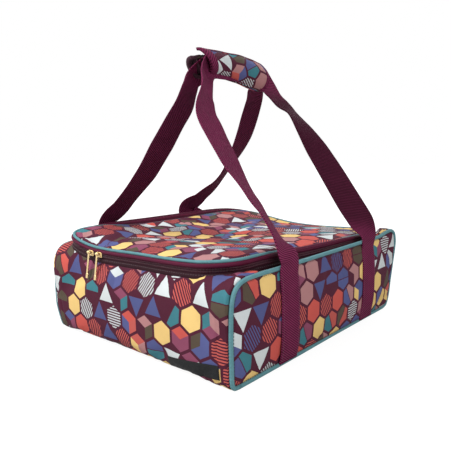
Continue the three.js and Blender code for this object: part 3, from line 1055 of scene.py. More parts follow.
def cord_tree() -> Repeat:
    """Builds the tree of a round cord along a path.

    Returns:
        The tree.
    """
    tree = Repeat("cord", ["Radius", "Sides"])
    line = tree.node("GeometryNodeSplineParameter", output="Length")
    marked = tree.node("GeometryNodeStoreNamedAttribute", {"data_type": "FLOAT", "domain": "POINT"},
                       {"Geometry": tree.given, "Name": ALONG, "Value": line})
    sides = tree.node("FunctionNodeFloatToInt", inputs={0: tree.given.also("Sides")})
    ring = tree.node("GeometryNodeCurvePrimitiveCircle",
                     inputs={"Resolution": sides, "Radius": tree.given.also("Radius")})
    part = tree.node("GeometryNodeSplineParameter", output="Factor")
    round_ = tree.node("GeometryNodeStoreNamedAttribute", {"data_type": "FLOAT", "domain": "POINT"},
                       {"Geometry": ring, "Name": AROUND, "Value": part})
    tree.end(tree.node("GeometryNodeCurveToMesh",
                       inputs={"Curve": marked, "Profile Curve": round_, "Fill Caps": True}))
    return tree


class Bead(Enum):
    """What a row is made of, with the name of its tree."""

    THREAD = "stitches"
    TOOTH = "zip_teeth"


def row_tree(bead: Bead) -> Repeat:
    """Builds the tree of small shapes in a row along a path.

    Args:
        bead: What the row is made of.

    Returns:
        The tree.
    """
    tree = Repeat(bead.value, ROW_SIZES)
    spaced = tree.node("GeometryNodeResampleCurve", {"mode": "LENGTH"},
                       {"Curve": tree.given, "Length": tree.given.also("Pitch")})
    if bead is Bead.THREAD:
        shape = tree.node("GeometryNodeMeshIcoSphere", inputs={"Radius": 0.5, "Subdivisions": 2})
    else:
        shape = tree.node("GeometryNodeMeshCylinder", {"fill_type": "TRIANGLE_FAN"},
                          {"Vertices": 8, "Side Segments": 1, "Radius": 0.5, "Depth": 1.0})
    way = tree.node("GeometryNodeInputTangent")
    level = tree.node("FunctionNodeAlignRotationToVector", {"axis": "X"}, {"Vector": way})
    upright = tree.node("FunctionNodeAlignRotationToVector", {"axis": "Z", "pivot_axis": "X"},
                        {"Rotation": level, "Vector": (0.0, 0.0, 1.0)})
    sides = (tree.given.also(side) for side in ROW_SIZES[1:])
    size = tree.node("ShaderNodeCombineXYZ", inputs=dict(enumerate(sides)))
    tree.end(tree.node("GeometryNodeInstanceOnPoints",
                       inputs={"Points": spaced, "Instance": shape, "Rotation": upright, "Scale": size}))
    return tree


@dataclass
class Notions:
    """Cords, stitches and zip teeth, sewn in wherever they are needed.

    A stitch and a tooth each have their pitch, length, width and height.
    """

    bench: Bench
    cord_sides: float = 14.0
    stitch: tuple[float, ...] = (3.4, 2.5, 0.6, 0.5)
    tooth: tuple[float, ...] = (1.5, 0.95, 1.9, 2.1)

    def __post_init__(self) -> None:
        """Builds the three trees."""
        self.cords = cord_tree()
        self.threads = row_tree(Bead.THREAD)
        self.coils = row_tree(Bead.TOOTH)

    def cord(self, name: str, paths: Sequence[Array], radius: float, closed: bool,
             finish: Finish) -> Piece:
        """Makes round cords along paths."""
        sizes = {"Radius": radius * MM, "Sides": self.cord_sides}
        return self.cords.run(self.bench, name, paths, closed, finish, sizes)

    def stitches(self, name: str, paths: Sequence[Array], closed: bool, finish: Finish) -> Piece:
        """Makes rows of stitches along paths."""
        sizes = {size: value * MM for size, value in zip(ROW_SIZES, self.stitch)}
        return self.threads.run(self.bench, name, paths, closed, finish, sizes)

    def teeth(self, name: str, path: Array) -> Piece:
        """Makes one side of the zip's coil along a path."""
        sizes = {size: value * MM for size, value in zip(ROW_SIZES, self.tooth)}
        return self.coils.run(self.bench, name, [path], False, Finish.COIL, sizes)


# The carrier's shared shape

@dataclass(frozen=True)
class SideShape:
    """The carrier seen from the side: depth and height of its outer cloth."""

    front: tuple[Pair, ...] = (
        (-170, 0.4), (-176.8, 1.3), (-180.6, 4.6), (-182, 11), (-182.2, 22), (-182.6, 44), (-182.4, 64),
        (-181.8, 79), (-180, 90), (-176, 98.5), (-169, 104.5), (-158, 107.6), (-145, 108.4), (-128, 108.5),
        (-110, 108.3))
    back: tuple[Pair, ...] = (
        (147, 0.5), (157, 3.2), (165, 14.5), (171, 38), (177.6, 62), (181.2, 80), (181.6, 95), (177, 107),
        (167, 112.2), (152, 112), (128, 108.6))

    def curve(self, sign: int) -> Array:
        """Gives the profile of the front, -1, or the back, 1, from the floor up to the top."""
        return curve_through(self.front if sign < 0 else self.back)

    def loop(self, inset: float, count: int) -> Array:
        """Gives the closed outline, moved inward.

        Args:
            inset: How far inward.
            count: How many points.

        Returns:
            Points of depth and height, from the floor in front over the top to the back.
        """
        line = even(np.vstack([self.curve(-1), self.curve(1)[::-1]]), count, closed=True)
        way = unit(np.roll(line, -1, axis=0) - np.roll(line, 1, axis=0))
        return line + inset * np.stack([way[:, 1], -way[:, 0]], axis=1)


@dataclass(frozen=True)
class Rim:
    """The edge of the lid in plan, with its waves.

    Each wave has the angle round the lid, the rim's lift, the flare of the band beside the piping, and
    the share of the lid's height that is kept where the lid is sewn to the back wall.
    """

    half_width: float = 134.0
    half_depth: float = 174.0
    corner: float = 40.0
    zip_end: float = 118.0
    hinge_height: float = 106.0
    stand: float = 7.0
    flare_out: float = 1.2
    left_corner_push: float = 5.0
    waves: tuple[tuple[float, float, float, float], ...] = (
        (-180, 8.0, 1.0, 1.0), (-161, 8.2, 1.0, 1.0), (-151, 11.5, 0.7, 1.0), (-143, 14.5, 0.1, 1.0),
        (-136, 12.5, 0.0, 1.0), (-130, 4.0, 0.0, 1.0), (-123, -1.8, 0.0, 1.0), (-113, -2.2, 0.0, 1.0),
        (-101, -1.6, 0.0, 1.0), (-90, -0.4, 0.0, 1.0), (-67, 0.6, 0.0, 1.0), (-57, 1.5, 0.0, 1.0),
        (-48, 4.6, 0.0, 1.0), (-38, 5.2, 0.0, 1.0), (-29, 4.4, 0.1, 1.0), (-20, 1.6, 0.35, 1.0),
        (-3, -0.9, 0.4, 1.0), (17, -1.5, 0.3, 0.9), (28, -1.5, 0.2, 0.8), (45, -2.4, 0.1, 0.5),
        (74, -3.4, 0.0, 0.2), (91, -3.2, 0.0, 0.2), (104, -2.0, 0.0, 0.3), (118, 1.0, 0.0, 0.6),
        (132, 7.5, 0.2, 0.85), (145, 8.5, 0.9, 1.0), (166, 7.8, 1.0, 1.0))

    def _around(self, column: int, xy: Array) -> Array:
        """Looks up a wave by the angle round the lid.

        Args:
            column: The wave's place in the table.
            xy: Points in plan.

        Returns:
            The wave at each point.
        """
        table = np.array(self.waves)
        step, reach, soft = 2.0, 8, 6.0
        fine = np.arange(-180, 180, step)
        value = np.interp(fine, table[:, 0], table[:, column], period=360)
        kernel = np.exp(-0.5 * (np.arange(-reach, reach + 1) * step / soft) ** 2)
        value = np.convolve(np.r_[value[-reach:], value, value[:reach]], kernel / kernel.sum(), "valid")
        angle = np.degrees(np.arctan2(xy[..., 1] / self.half_depth, xy[..., 0] / self.half_width))
        return np.interp(angle, fine, value, period=360)

    def lift(self, xy: Array) -> Array:
        """Gives how far the rim stands above its level."""
        return self._around(1, xy)

    def flare(self, xy: Array) -> Array:
        """Gives how far the lid's band stands up beside its piping, from 0 to 1."""
        return self._around(2, xy)

    def level(self, plan: Array, height: float) -> Array:
        """Gives the true height, at points in plan, of what has a height on a level rim."""
        above = max(0.0, height - self.hinge_height)
        return height - above + above * self._around(3, plan) + self.lift(plan)

    def runs(self, step: float) -> tuple[Array, Array]:
        """Gives the rim in plan.

        Args:
            step: The distance between points.

        Returns:
            The zip's run from right to left round the front, and the hinge's run back again.
        """
        w, d, r = self.half_width, self.half_depth, self.corner
        turn = np.linspace(0, math.pi / 2, 13)[:, None]
        arc = np.hstack([np.cos(turn), np.sin(turn)]) * r
        front_right = np.array([w - r, r - d]) + arc * [1, -1]
        front_left = self._pushed((np.array([r - w, r - d]) + arc * [-1, -1])[::-1])
        back_left = np.array([r - w, d - r]) + arc * [-1, 1]
        back_right = (np.array([w - r, d - r]) + arc)[::-1]
        front = np.vstack([[w, self.zip_end], front_right, front_left, [-w, self.zip_end]])
        rear = np.vstack([[-w, self.zip_end], back_left, back_right, [w, self.zip_end]])
        return tuple(even(line, int(travel(line)[-1] / step)) for line in (front, rear))

    def _pushed(self, arc: Array) -> Array:
        """Pushes the soft left front corner outward in plan."""
        share = np.sin(np.linspace(0, math.pi, len(arc)))[:, None] ** 2
        return arc - self.left_corner_push * math.sqrt(0.5) * share

    def loop(self, out: float, step: float) -> Array:
        """Gives the closed rim in plan, moved outward."""
        front, rear = self.runs(step)
        return self.beside(np.vstack([front[:-1], rear[:-1]]), out, closed=True)

    @staticmethod
    def beside(run: Array, out: Any, closed: bool = False) -> Array:
        """Moves a run in plan outward.

        Args:
            run: Points in plan, clockwise from above.
            out: How far.
            closed: Whether the run is a loop.

        Returns:
            The moved points.
        """
        if closed:
            way = unit(np.roll(run, -1, axis=0) - np.roll(run, 1, axis=0))
        else:
            way = unit(np.gradient(run, axis=0))
        return run + np.stack([-way[:, 1], way[:, 0]], axis=1) * np.reshape(out, (-1, 1))

    def line(self, run: Array, out: float, height: float, closed: bool = False) -> Array:
        """Gives a line in space beside a run, with the rim's lift."""
        plan = self.beside(run, out, closed)
        return np.c_[plan, self.level(plan, height)]

    def band(self, run: Array, section: Sequence[Triple]) -> Form:
        """Sweeps a closed section along a run.

        Args:
            run: Points in plan.
            section: Points of the section: out, height and share of the flare.

        Returns:
            The swept form, closed at its ends.
        """
        flare = self.flare(run)
        lines = []
        for out, height, share in section:
            plan = self.beside(run, out + self.flare_out * share * flare)
            lines.append(np.c_[plan, self.level(run, height) + self.stand * share * flare])
        wide = travel(np.array([*section, section[0]])[:, :2])
        uv = np.stack(np.meshgrid(travel(run), wide, indexing="ij"), axis=-1)
        return Form().tube(np.stack(lines, axis=1), uv)


@dataclass
class Shape:
    """The shapes that several sub-assemblies share."""

    side: SideShape = field(default_factory=SideShape)
    rim: Rim = field(default_factory=Rim)
    wrap_half: float = 147.0
    piping_x: float = 149.4
    piping_inset: float = 2.4
    piping_radius: float = 2.3
    edge_height: float = 102.6
    toe_tuck: float = 10.0
    shoulder_lift: float = 2.6

    def tucked(self, points: Array) -> Array:
        """Draws in the soft lower corner at the left front and raises the shoulder above it.

        Args:
            points: Points of the bag's outside.

        Returns:
            The points, with those near the two corners moved.
        """
        x, y, z = (points[..., k] for k in range(3))
        near = smooth(-x, 95, 150) * smooth(-y, 120, 180)
        toe = self.toe_tuck * near * (1 - smooth(z, 0, 34))
        shoulder = self.shoulder_lift * smooth(-x, 125, 147) * smooth(-y, 110, 160) * smooth(z, 60, 98)
        return np.stack([x + toe, y, z + shoulder], axis=-1)


# Bag

@dataclass
class Bag:
    """The padded walls of the bag, their piping and the margins beside the lid."""

    bench: Bench
    notions: Notions
    shape: Shape
    wall: float = 5.4
    side_wall: float = 7.2
    wall_rows: int = 34
    wall_drop: float = 22.0
    front_lean: float = 2.6
    lean_height: Pair = (84.0, 24.0)
    base_height: float = 0.75
    base_ripple: float = 0.25
    panel_x: float = 149.7
    panel_inset: float = 4.4
    panel_corners: tuple[Pair, ...] = ((-174, 6), (-176, 101), (172, 101), (160, 16))
    crown: float = 2.2
    wall_filling: Filling = Filling(pressure=1.6, reach=2.6)
    side_filling: Filling = Filling(pressure=1.6, reach=2.2)
    margin_end: float = 134.0
    margin_height: float = 106.8
    margin_cloth: float = 1.4
    margin_dip: float = 1.5
    margin_wave: float = 0.6
    margin_sag: float = 1.7
    piping_tuck: float = 1.2
    seam_inset: float = 3.0
    seam_out: float = 0.9
    wall_print: float = 400.0
    back_print: float = 900.0
    base_print: float = 2000.0
    side_print: Pair = (2500.0, 3500.0)
    margin_print: Pair = (4300.0, 5700.0)

    def build(self) -> None:
        """Makes and dresses every piece of the bag's outside."""
        self.front = self._wall("front", -1)
        self._wall("back", 1)
        self._base()
        self.sides = {sign: self._side(sign) for sign in (-1, 1)}
        for sign in (-1, 1):
            self._margin(sign)
            self._piping(sign)

    def _wall(self, name: str, sign: int) -> Piece:
        """Makes the front or back wall, up to the rim.

        Args:
            name: The wall's name.
            sign: -1 for the front and 1 for the back.

        Returns:
            The padded piece.
        """
        s, rim = self.shape, self.shape.rim
        profile = s.side.curve(sign)
        run = travel(profile)
        depth = np.abs(profile[:, 0])
        turn = np.linspace(0, math.pi / 2, 12)
        flat = rim.half_width - rim.corner
        half = np.r_[np.linspace(0, flat, 20)[:-1], flat + (rim.corner + 1) * np.sin(turn),
                     np.linspace(rim.half_width + 3, s.wrap_half, 5)]
        xs = np.r_[-half[:0:-1], half]
        rows = self.wall_rows
        middle, spread = self.lean_height
        start = 0.0 if sign < 0 else self.back_print
        points = np.zeros((rows, len(xs), 3))
        uv = np.zeros((rows, len(xs), 2))
        for j, x in enumerate(xs):
            over = max(0.0, abs(x) - flat)
            reach = rim.half_depth - rim.corner + math.sqrt(max(0.0, (rim.corner + 1) ** 2 - over**2))
            above = np.flatnonzero((profile[:, 1] > 90) & (depth <= reach))[0]
            share = (depth[above - 1] - reach) / max(depth[above - 1] - depth[above], 1e-6)
            stop = run[above - 1] + np.clip(share, 0, 1) * (run[above] - run[above - 1])
            t = np.linspace(0, stop, rows)
            y, z = np.interp(t, run, profile[:, 0]), np.interp(t, run, profile[:, 1])
            edge = np.array([np.clip(x, -rim.half_width, rim.half_width), y[-1]])
            drop = min(z[-1], s.edge_height) + float(rim.lift(edge)) - z[-1]
            drop *= 1 - smooth(abs(x), rim.half_width, s.wrap_half - 1)
            z = z + drop * smooth(t, stop - self.wall_drop, stop)
            lean = smooth(abs(x), 96, s.wrap_half) * np.exp(-((z - middle) / spread) ** 2)
            y = y - self.front_lean * (lean * smooth(-y, 150, 176)) if sign < 0 else y
            points[:, j] = np.stack([np.full(rows, x), y, z], axis=1)
            uv[:, j] = np.stack([np.full(rows, x + self.wall_print), t + start], axis=1)
        piece = self.bench.panel(f"{name}_padding", s.tucked(points), uv, Finish.PRINT, (0, sign, 0.2))
        self.bench.settle(piece, points.shape[:2], self.wall_filling)
        return self._padded(piece, self.wall, f"{name}_panel", f"{name}_foam")

    def _padded(self, piece: Piece, thickness: float, *nodes: str) -> Piece:
        """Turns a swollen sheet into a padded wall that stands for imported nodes.

        Args:
            piece: The sheet.
            thickness: The padding's thickness.
            nodes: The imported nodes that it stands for.

        Returns:
            The padded piece.
        """
        self.bench.thicken(piece, thickness)
        return self.bench.rides(piece, "bag", *nodes)

    def _base(self) -> None:
        """Makes the floor of the bag."""
        s = self.shape
        front, back = s.side.front[0][0], s.side.back[0][0]
        xs = np.linspace(-s.wrap_half, s.wrap_half, 50)
        ys = np.linspace(front, back, 52)
        x, y = np.meshgrid(xs, ys)
        z = self.base_height + self.base_ripple * np.sin(x / 31) * np.sin(y / 37)
        points = s.tucked(np.stack([x, y, z], axis=-1))
        uv = np.stack([x + self.wall_print, y + self.base_print], axis=-1)
        piece = self.bench.panel("base_padding", points, uv, Finish.PRINT, (0, 0, -1))
        self._padded(piece, self.wall, "base_panel", "base_foam")

    def _side(self, sign: int) -> Piece:
        """Makes one strapped side panel.

        Args:
            sign: -1 for the left and 1 for the right.

        Returns:
            The padded piece.
        """
        grid = patch(self.shape.side.loop(self.panel_inset, 400), self.panel_corners, 22, 72)
        swell = self.crown * dome(grid.shape[:2], 0.6)
        points = self.shape.tucked(np.dstack([sign * (self.panel_x + swell), grid]))
        uv = np.dstack([sign * grid[..., 0] + self.side_print[sign > 0], grid[..., 1]])
        name = f"{hand(sign)}_side"
        piece = self.bench.panel(f"{name}_padding", points, uv, Finish.PRINT, (sign, 0, 0))
        self.bench.settle(piece, grid.shape[:2], self.side_filling)
        return self._padded(piece, self.side_wall, f"{name}_panel", f"{name}_foam")

    def _margin(self, sign: int) -> None:
        """Makes the strip of cloth between the lid's band and a side's piping.

        Args:
            sign: -1 for the left and 1 for the right.
        """
        s = self.shape
        ys = np.linspace(-self.margin_end, self.margin_end, 70)
        across = np.linspace(0, 1, 7)
        inner = s.rim.half_width + 1.0
        y, a = np.meshgrid(ys, across, indexing="ij")
        x = inner + (s.wrap_half - inner) * a
        edge = s.rim.lift(np.dstack([np.full_like(y, sign * s.rim.half_width), y]))
        dip = s.edge_height + self.margin_wave * edge - self.margin_dip
        z = dip + (self.margin_height - dip) * smooth(x, inner, s.wrap_half) ** self.margin_sag
        points = np.dstack([sign * x, y, z])
        uv = np.dstack([x + self.margin_print[sign > 0], y])
        name = hand(sign)
        piece = self.bench.panel(f"{name}_top_strip", points, uv, Finish.PRINT, (0, 0, 1))
        self.bench.thicken(piece, self.margin_cloth)
        self.bench.rides(piece, "bag", f"{name}_top_margin")

    def _piping(self, sign: int) -> None:
        """Makes one side's piping and the stitches beside it.

        Args:
            sign: -1 for the left and 1 for the right.
        """
        s = self.shape
        name = hand(sign)
        loop = s.side.loop(s.piping_inset, 420)
        y, z = loop[:, 0], loop[:, 1]
        below = (1 - smooth(z, 3, 14)) * smooth(y, -110, 20)
        behind = (1 - smooth(z, 60, 100)) * smooth(y, 120, 165)
        under = np.maximum(below, behind)
        path = s.tucked(np.c_[sign * (s.piping_x - self.piping_tuck * under), loop])
        cord = self.notions.cord(f"{name}_side_piping", [path], s.piping_radius, True, Finish.PIPING)
        self.bench.rides(cord, "bag", f"{name}_piping")
        seam = s.side.loop(s.piping_inset + self.seam_inset, 420)
        sewn = s.tucked(np.c_[np.full(len(seam), sign * (s.piping_x + self.seam_out)), seam])
        row = self.notions.stitches(f"{name}_side_stitches", [sewn], True, Finish.DARK_THREAD)
        self.bench.rides(row, "bag")


# Lid and zip

@dataclass
class Lid:
    """The padded lid with its piping and lining."""

    bench: Bench
    notions: Notions
    shape: Shape
    piping_height: float = 115.2
    piping_radius: float = 1.75
    piping_tuck: float = 4.0
    piping_inset: float = 1.0
    cloth_tuck: float = 0.8
    cloth_height: float = 116.2
    billow: Triple = (0.9, 1.0, 0.7)
    pad_inset: float = 3.2
    pad_wall: float = 5.0
    lining_inset: float = 5.2
    lining_height: float = 109.7
    lining_gap: float = 1.4
    foil: float = 0.7
    crumple: Pair = (0.35, 0.2)
    corners: tuple[Pair, ...] = ((125, -165), (-125, -165), (-125, 165), (125, 165))
    columns: int = 54
    rows: int = 70
    filling: Filling = Filling(pressure=0.9, reach=2.4)
    print_start: Pair = (7000.0, 300.0)

    def build(self) -> None:
        """Makes and dresses every piece of the lid's panel."""
        rim = self.shape.rim
        loop = rim.loop(0.0, 3.0)
        path = rim.line(loop, -self.piping_inset, self.piping_height, closed=True)
        path[:, 2] -= self.piping_tuck * rim.flare(loop)
        cord = self.notions.cord("lid_edge_piping", [path], self.piping_radius, True, Finish.PIPING)
        self.bench.rides(cord, "lid", "lid_piping")
        self._lining(surface(self._pad()))

    def _sheet(self, inset: float, height: float) -> Array:
        """Fills the lid's outline with a grid at a height.

        Args:
            inset: How far inside the rim its edge lies.
            height: The edge's level.

        Returns:
            Rows by columns of points.
        """
        rim = self.shape.rim
        loop = rim.loop(0.0, 2.0)
        edge = rim.line(loop, -inset, height, closed=True)
        edge[:, 2] -= self.cloth_tuck * self.piping_tuck * rim.flare(loop)
        return patch(edge, self.corners, self.columns, self.rows)

    def _pad(self) -> Piece:
        """Makes the printed and padded top.

        Returns:
            The padded piece.
        """
        grid = self._sheet(self.pad_inset, self.cloth_height)
        rise = dome(grid.shape[:2], 0.5)
        x, y = grid[..., 0], grid[..., 1]
        even_rise, long_wave, short_wave = self.billow
        waves = long_wave * np.sin(x / 43 + y / 61) + short_wave * np.sin(y / 37 - x / 90)
        grid[..., 2] += rise * (even_rise + waves)
        uv = np.dstack([x + self.print_start[0], y + self.print_start[1]])
        piece = self.bench.panel("lid_padding", grid, uv, Finish.PRINT, (0, 0, 1))
        self.bench.settle(piece, grid.shape[:2], self.filling)
        self.bench.thicken(piece, self.pad_wall)
        return self.bench.rides(piece, "lid", "lid_panel", "lid_foam")

    def _lining(self, top: BVHTree) -> None:
        """Makes the foil lining close under the padding.

        Args:
            top: The padding's outer face.
        """
        grid = self._sheet(self.lining_inset, self.lining_height)
        x, y = grid[..., 0], grid[..., 1]
        broad, fine = self.crumple
        grid[..., 2] += broad * np.sin(x / 11) * np.sin(y / 13) + fine * np.sin(x / 5 + y / 7)
        for place in grid.reshape(-1, 3):
            hit = top.ray_cast(Vector((place[0], place[1], 300)), Vector((0, 0, -1)))[0]
            if hit is not None:
                place[2] = min(place[2], hit.z - self.pad_wall - self.lining_gap)
        piece = self.bench.panel("lid_foil", grid, np.dstack([x, y]), Finish.LINING, (0, 0, -1))
        self.bench.thicken(piece, self.foil)
        self.bench.rides(piece, "lid", "lid_lining")


@dataclass
class Zip:
    """The zip's two tapes and two rows of teeth, the tape at the hinge and the ends of the rim."""

    bench: Bench
    notions: Notions
    shape: Shape
    lower: tuple[Triple, ...] = (
        (0.2, 97.4, 0), (1.4, 98.2, 0), (2.2, 99.5, 0), (2.3, 101.0, 0), (1.6, 102.3, 0), (0.8, 103.2, 0),
        (0.2, 104.4, 0), (-0.9, 104.4, 0), (-1.1, 97.4, 0))
    upper: tuple[Triple, ...] = (
        (0.3, 108.9, 0), (1.2, 109.5, 0), (2.4, 110.5, 0.1), (2.7, 111.8, 0.4), (2.1, 113.2, 0.8),
        (0.7, 113.9, 1.0), (-0.6, 113.4, 1.0), (-1.1, 111.2, 0.3), (-1.1, 108.9, 0))
    lower_coil: float = 105.45
    upper_coil: float = 107.85
    coil_out: float = 0.0
    seam: Pair = (1.6, 102.5)
    stop_room: float = 4.0
    hinge: tuple[Pair, ...] = (
        (0.9, 98.0), (1.2, 102.0), (1.2, 110.0), (0.6, 113.4), (-1.0, 113.2), (-1.1, 106.0), (-1.1, 98.0))
    rim_end_height: float = 105.4

    def build(self) -> None:
        """Makes and dresses the zip."""
        rim = self.shape.rim
        front, rear = rim.runs(3.0)
        # The lower tape takes the tape finish darkened with painted shade; the upper tape takes the plain
        # tape finish.
        tapes = (("lower", "bag", self.lower, Finish.DARK_TAPE), ("upper", "lid", self.upper, Finish.TAPE))
        for half, body, section, finish in tapes:
            tape = self.bench.sewn(f"{half}_tape", rim.band(front, section), finish)
            self.bench.rides(tape, body, f"{half}_zip_tape")
        short = front[np.abs(front[:, 1] - rim.zip_end) > self.stop_room]
        coils = (("lower", "bag", short, self.lower_coil), ("upper", "lid", front, self.upper_coil))
        for half, body, run, height in coils:
            teeth = self.notions.teeth(f"{half}_teeth", rim.line(run, self.coil_out, height))
            self.bench.rides(teeth, body, f"{half}_zip_coil")
        seam = rim.line(front, *self.seam)
        # The stitches on the lower tape use the dark thread to match the painted shade on that tape.
        row = self.notions.stitches("lower_tape_stitches", [seam], False, Finish.DARK_THREAD)
        self.bench.rides(row, "bag")
        self._hinge(rear)

    def _hinge(self, rear: Array) -> None:
        """Makes the tape along the hinge, which rides on neither body, and the stiff ends of the rim beside
        it.

        Args:
            rear: The hinge's run in plan.
        """
        rim = self.shape.rim
        straight = np.abs(rear[:, 0]) <= rim.half_width - rim.corner + 1
        corners = np.array(self.hinge)
        steps = np.linspace(0, 1, 4, endpoint=False)
        fine = [(*(here + (after - here) * t), 0.0)
                for here, after in zip(corners, np.roll(corners, -1, axis=0)) for t in steps]
        tape = self.bench.sewn("hinge_tape", rim.band(rear[straight], fine), Finish.TAPE)
        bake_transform(tape)
        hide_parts("hinge_binding")
        self.bench.report(tape, "bag and lid")
        ends = [rear[(rear[:, 0] * sign > 0) & ~straight] for sign in (-1, 1)]
        low, high = Form(), Form()
        for run in ends:
            cut = [(out, min(height, self.rim_end_height), share) for out, height, share in self.lower]
            low.join(rim.band(run, cut))
            high.join(rim.band(run, self.upper))
        self.bench.rides(self.bench.sewn("rim_ends", low, Finish.TAPE), "bag", "back_rim")
        self.bench.rides(self.bench.sewn("lid_band_ends", high, Finish.TAPE), "lid", "lid_back_band")


@dataclass
class Runner:
    """One zip slider with its pull, about the place where it meets the zip.

    Each block has its lowest corner, its highest corner and the radius of its edges.
    """

    bench: Bench
    name: str
    x: float
    y: float = -174.0
    z: float = 106.0
    lean: float = 9.0
    length: float = 30.0
    pin: Pair = (-5.4, 1.5)
    pin_half: float = 3.1
    pin_radius: float = 0.8
    eye: tuple[Pair, ...] = ((-1.6, 1.1), (-1.6, 2.1), (1.6, 2.1), (1.6, 1.1))
    blocks: tuple[tuple[Triple, Triple, float], ...] = (
        ((-4.4, -2.6, -3.3), (4.4, -0.95, 4.4), 0.75),
        ((-3.3, -3.2, -2.2), (3.3, -2.2, 3.6), 0.45),
        ((-4.4, 2.2, -3.3), (4.4, 3.3, 3.3), 0.5),
        ((-2.4, -1.4, 0.25), (2.4, 2.7, 1.15), 0.2),
        ((-3.0, -6.7, 0.2), (-2.0, -2.3, 2.8), 0.4),
        ((2.0, -6.7, 0.2), (3.0, -2.3, 2.8), 0.4))

    def build(self) -> None:
        """Makes the slider and its pull tab."""
        body = Form()
        for low, high, bevel in self.blocks:
            body.block(low, high, bevel)
        body.rod((-self.pin_half, *self.pin), (self.pin_half, *self.pin), self.pin_radius)
        self._set(f"{self.name}_zip_slider", body, f"{self.name}_slider", turned=False)
        tab = Form()
        ring = np.linspace(0, 2 * math.pi, 20, endpoint=False)
        rings = [[(x, radius * math.sin(a), radius * math.cos(a)) for x, radius in self.eye] for a in ring]
        rings = np.array([*rings, rings[0]])
        tab.grid(rings, np.zeros((len(rings), 5, 2)), wrap=True)
        tab.block((-1.4, -0.6, -self.length + 3), (1.4, 0.6, -1.7), 0.4)
        tab.block((-1.9, -0.75, -self.length - 1.0), (1.9, 0.75, -self.length + 5), 0.7)
        self._set(f"{self.name}_zip_pull", tab, f"{self.name}_pull", turned=True)

    def _set(self, name: str, form: Form, node: str, turned: bool) -> None:
        """Puts a form at its place on the zip.

        Args:
            name: The piece's name.
            form: The form, about its own origin.
            node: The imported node, which is also the body's name.
            turned: Whether the form hangs from the slider's pin.
        """
        angle = math.radians(-self.lean)
        points = []
        for cloud in form.points:
            p = np.array(cloud)
            if turned:
                y = p[:, 1] * math.cos(angle) - p[:, 2] * math.sin(angle)
                z = p[:, 1] * math.sin(angle) + p[:, 2] * math.cos(angle)
                p = np.c_[p[:, 0], y + self.pin[0], z + self.pin[1]]
            points.append(p + [self.x, self.y, self.z])
        form.points = points
        self.bench.rides(self.bench.sewn(name, form, Finish.GOLD), node, node)


SLIDERS = {"left": -73.5, "right": -57.0}


# Handles

@dataclass(frozen=True)
class Station:
    """A place on a strap: its middle, its twist in degrees and how far its edges curl in."""

    x: float
    y: float
    z: float
    twist: float = 0.0
    curl: float = 0.0


RIGHT_LEGS = (
    (Station(147, -94, 126, 20), Station(136, -96, 143, 31), Station(125, -99, 161, 33),
     Station(113, -102, 177, 24), Station(93, -102, 201, 12), Station(79, -103, 222, 4),
     Station(63, -102, 244, -3), Station(47, -99, 266, -8, 10), Station(33, -88, 286, 8, 100),
     Station(24, -77, 299, 10, 60), Station(15, -66, 312, 6, 40), Station(6, -57, 320, 4, 110)),
    (Station(8, 73, 308, -12, 20), Station(15, 83, 293, -18, 10), Station(30, 92, 278, -22),
     Station(48, 96, 255, 4), Station(70, 97, 225, 32), Station(96, 95, 191, 46), Station(123, 92, 155, 56),
     Station(143, 91, 129, 44)))
LEFT_LEGS = (
    (Station(-154, -94, 125, 8), Station(-127, -86, 153, 2), Station(-79, -84, 194, -11),
     Station(-46, -84, 230, -12), Station(-25, -80, 259), Station(-13, -73, 281, 6),
     Station(-13, -65, 301, 14, 20), Station(-13, -61, 313, 14, 60)),
    (Station(-16, 69, 314, 14), Station(-27, 83, 300, 22), Station(-43, 94, 279, 20),
     Station(-64, 102, 245, 12), Station(-85, 104, 215, -8), Station(-103, 103, 192, -23),
     Station(-122, 99, 171, -24), Station(-146, 88, 149, -16), Station(-169, 78, 129, 12),
     Station(-166, 82, 117, 10)))


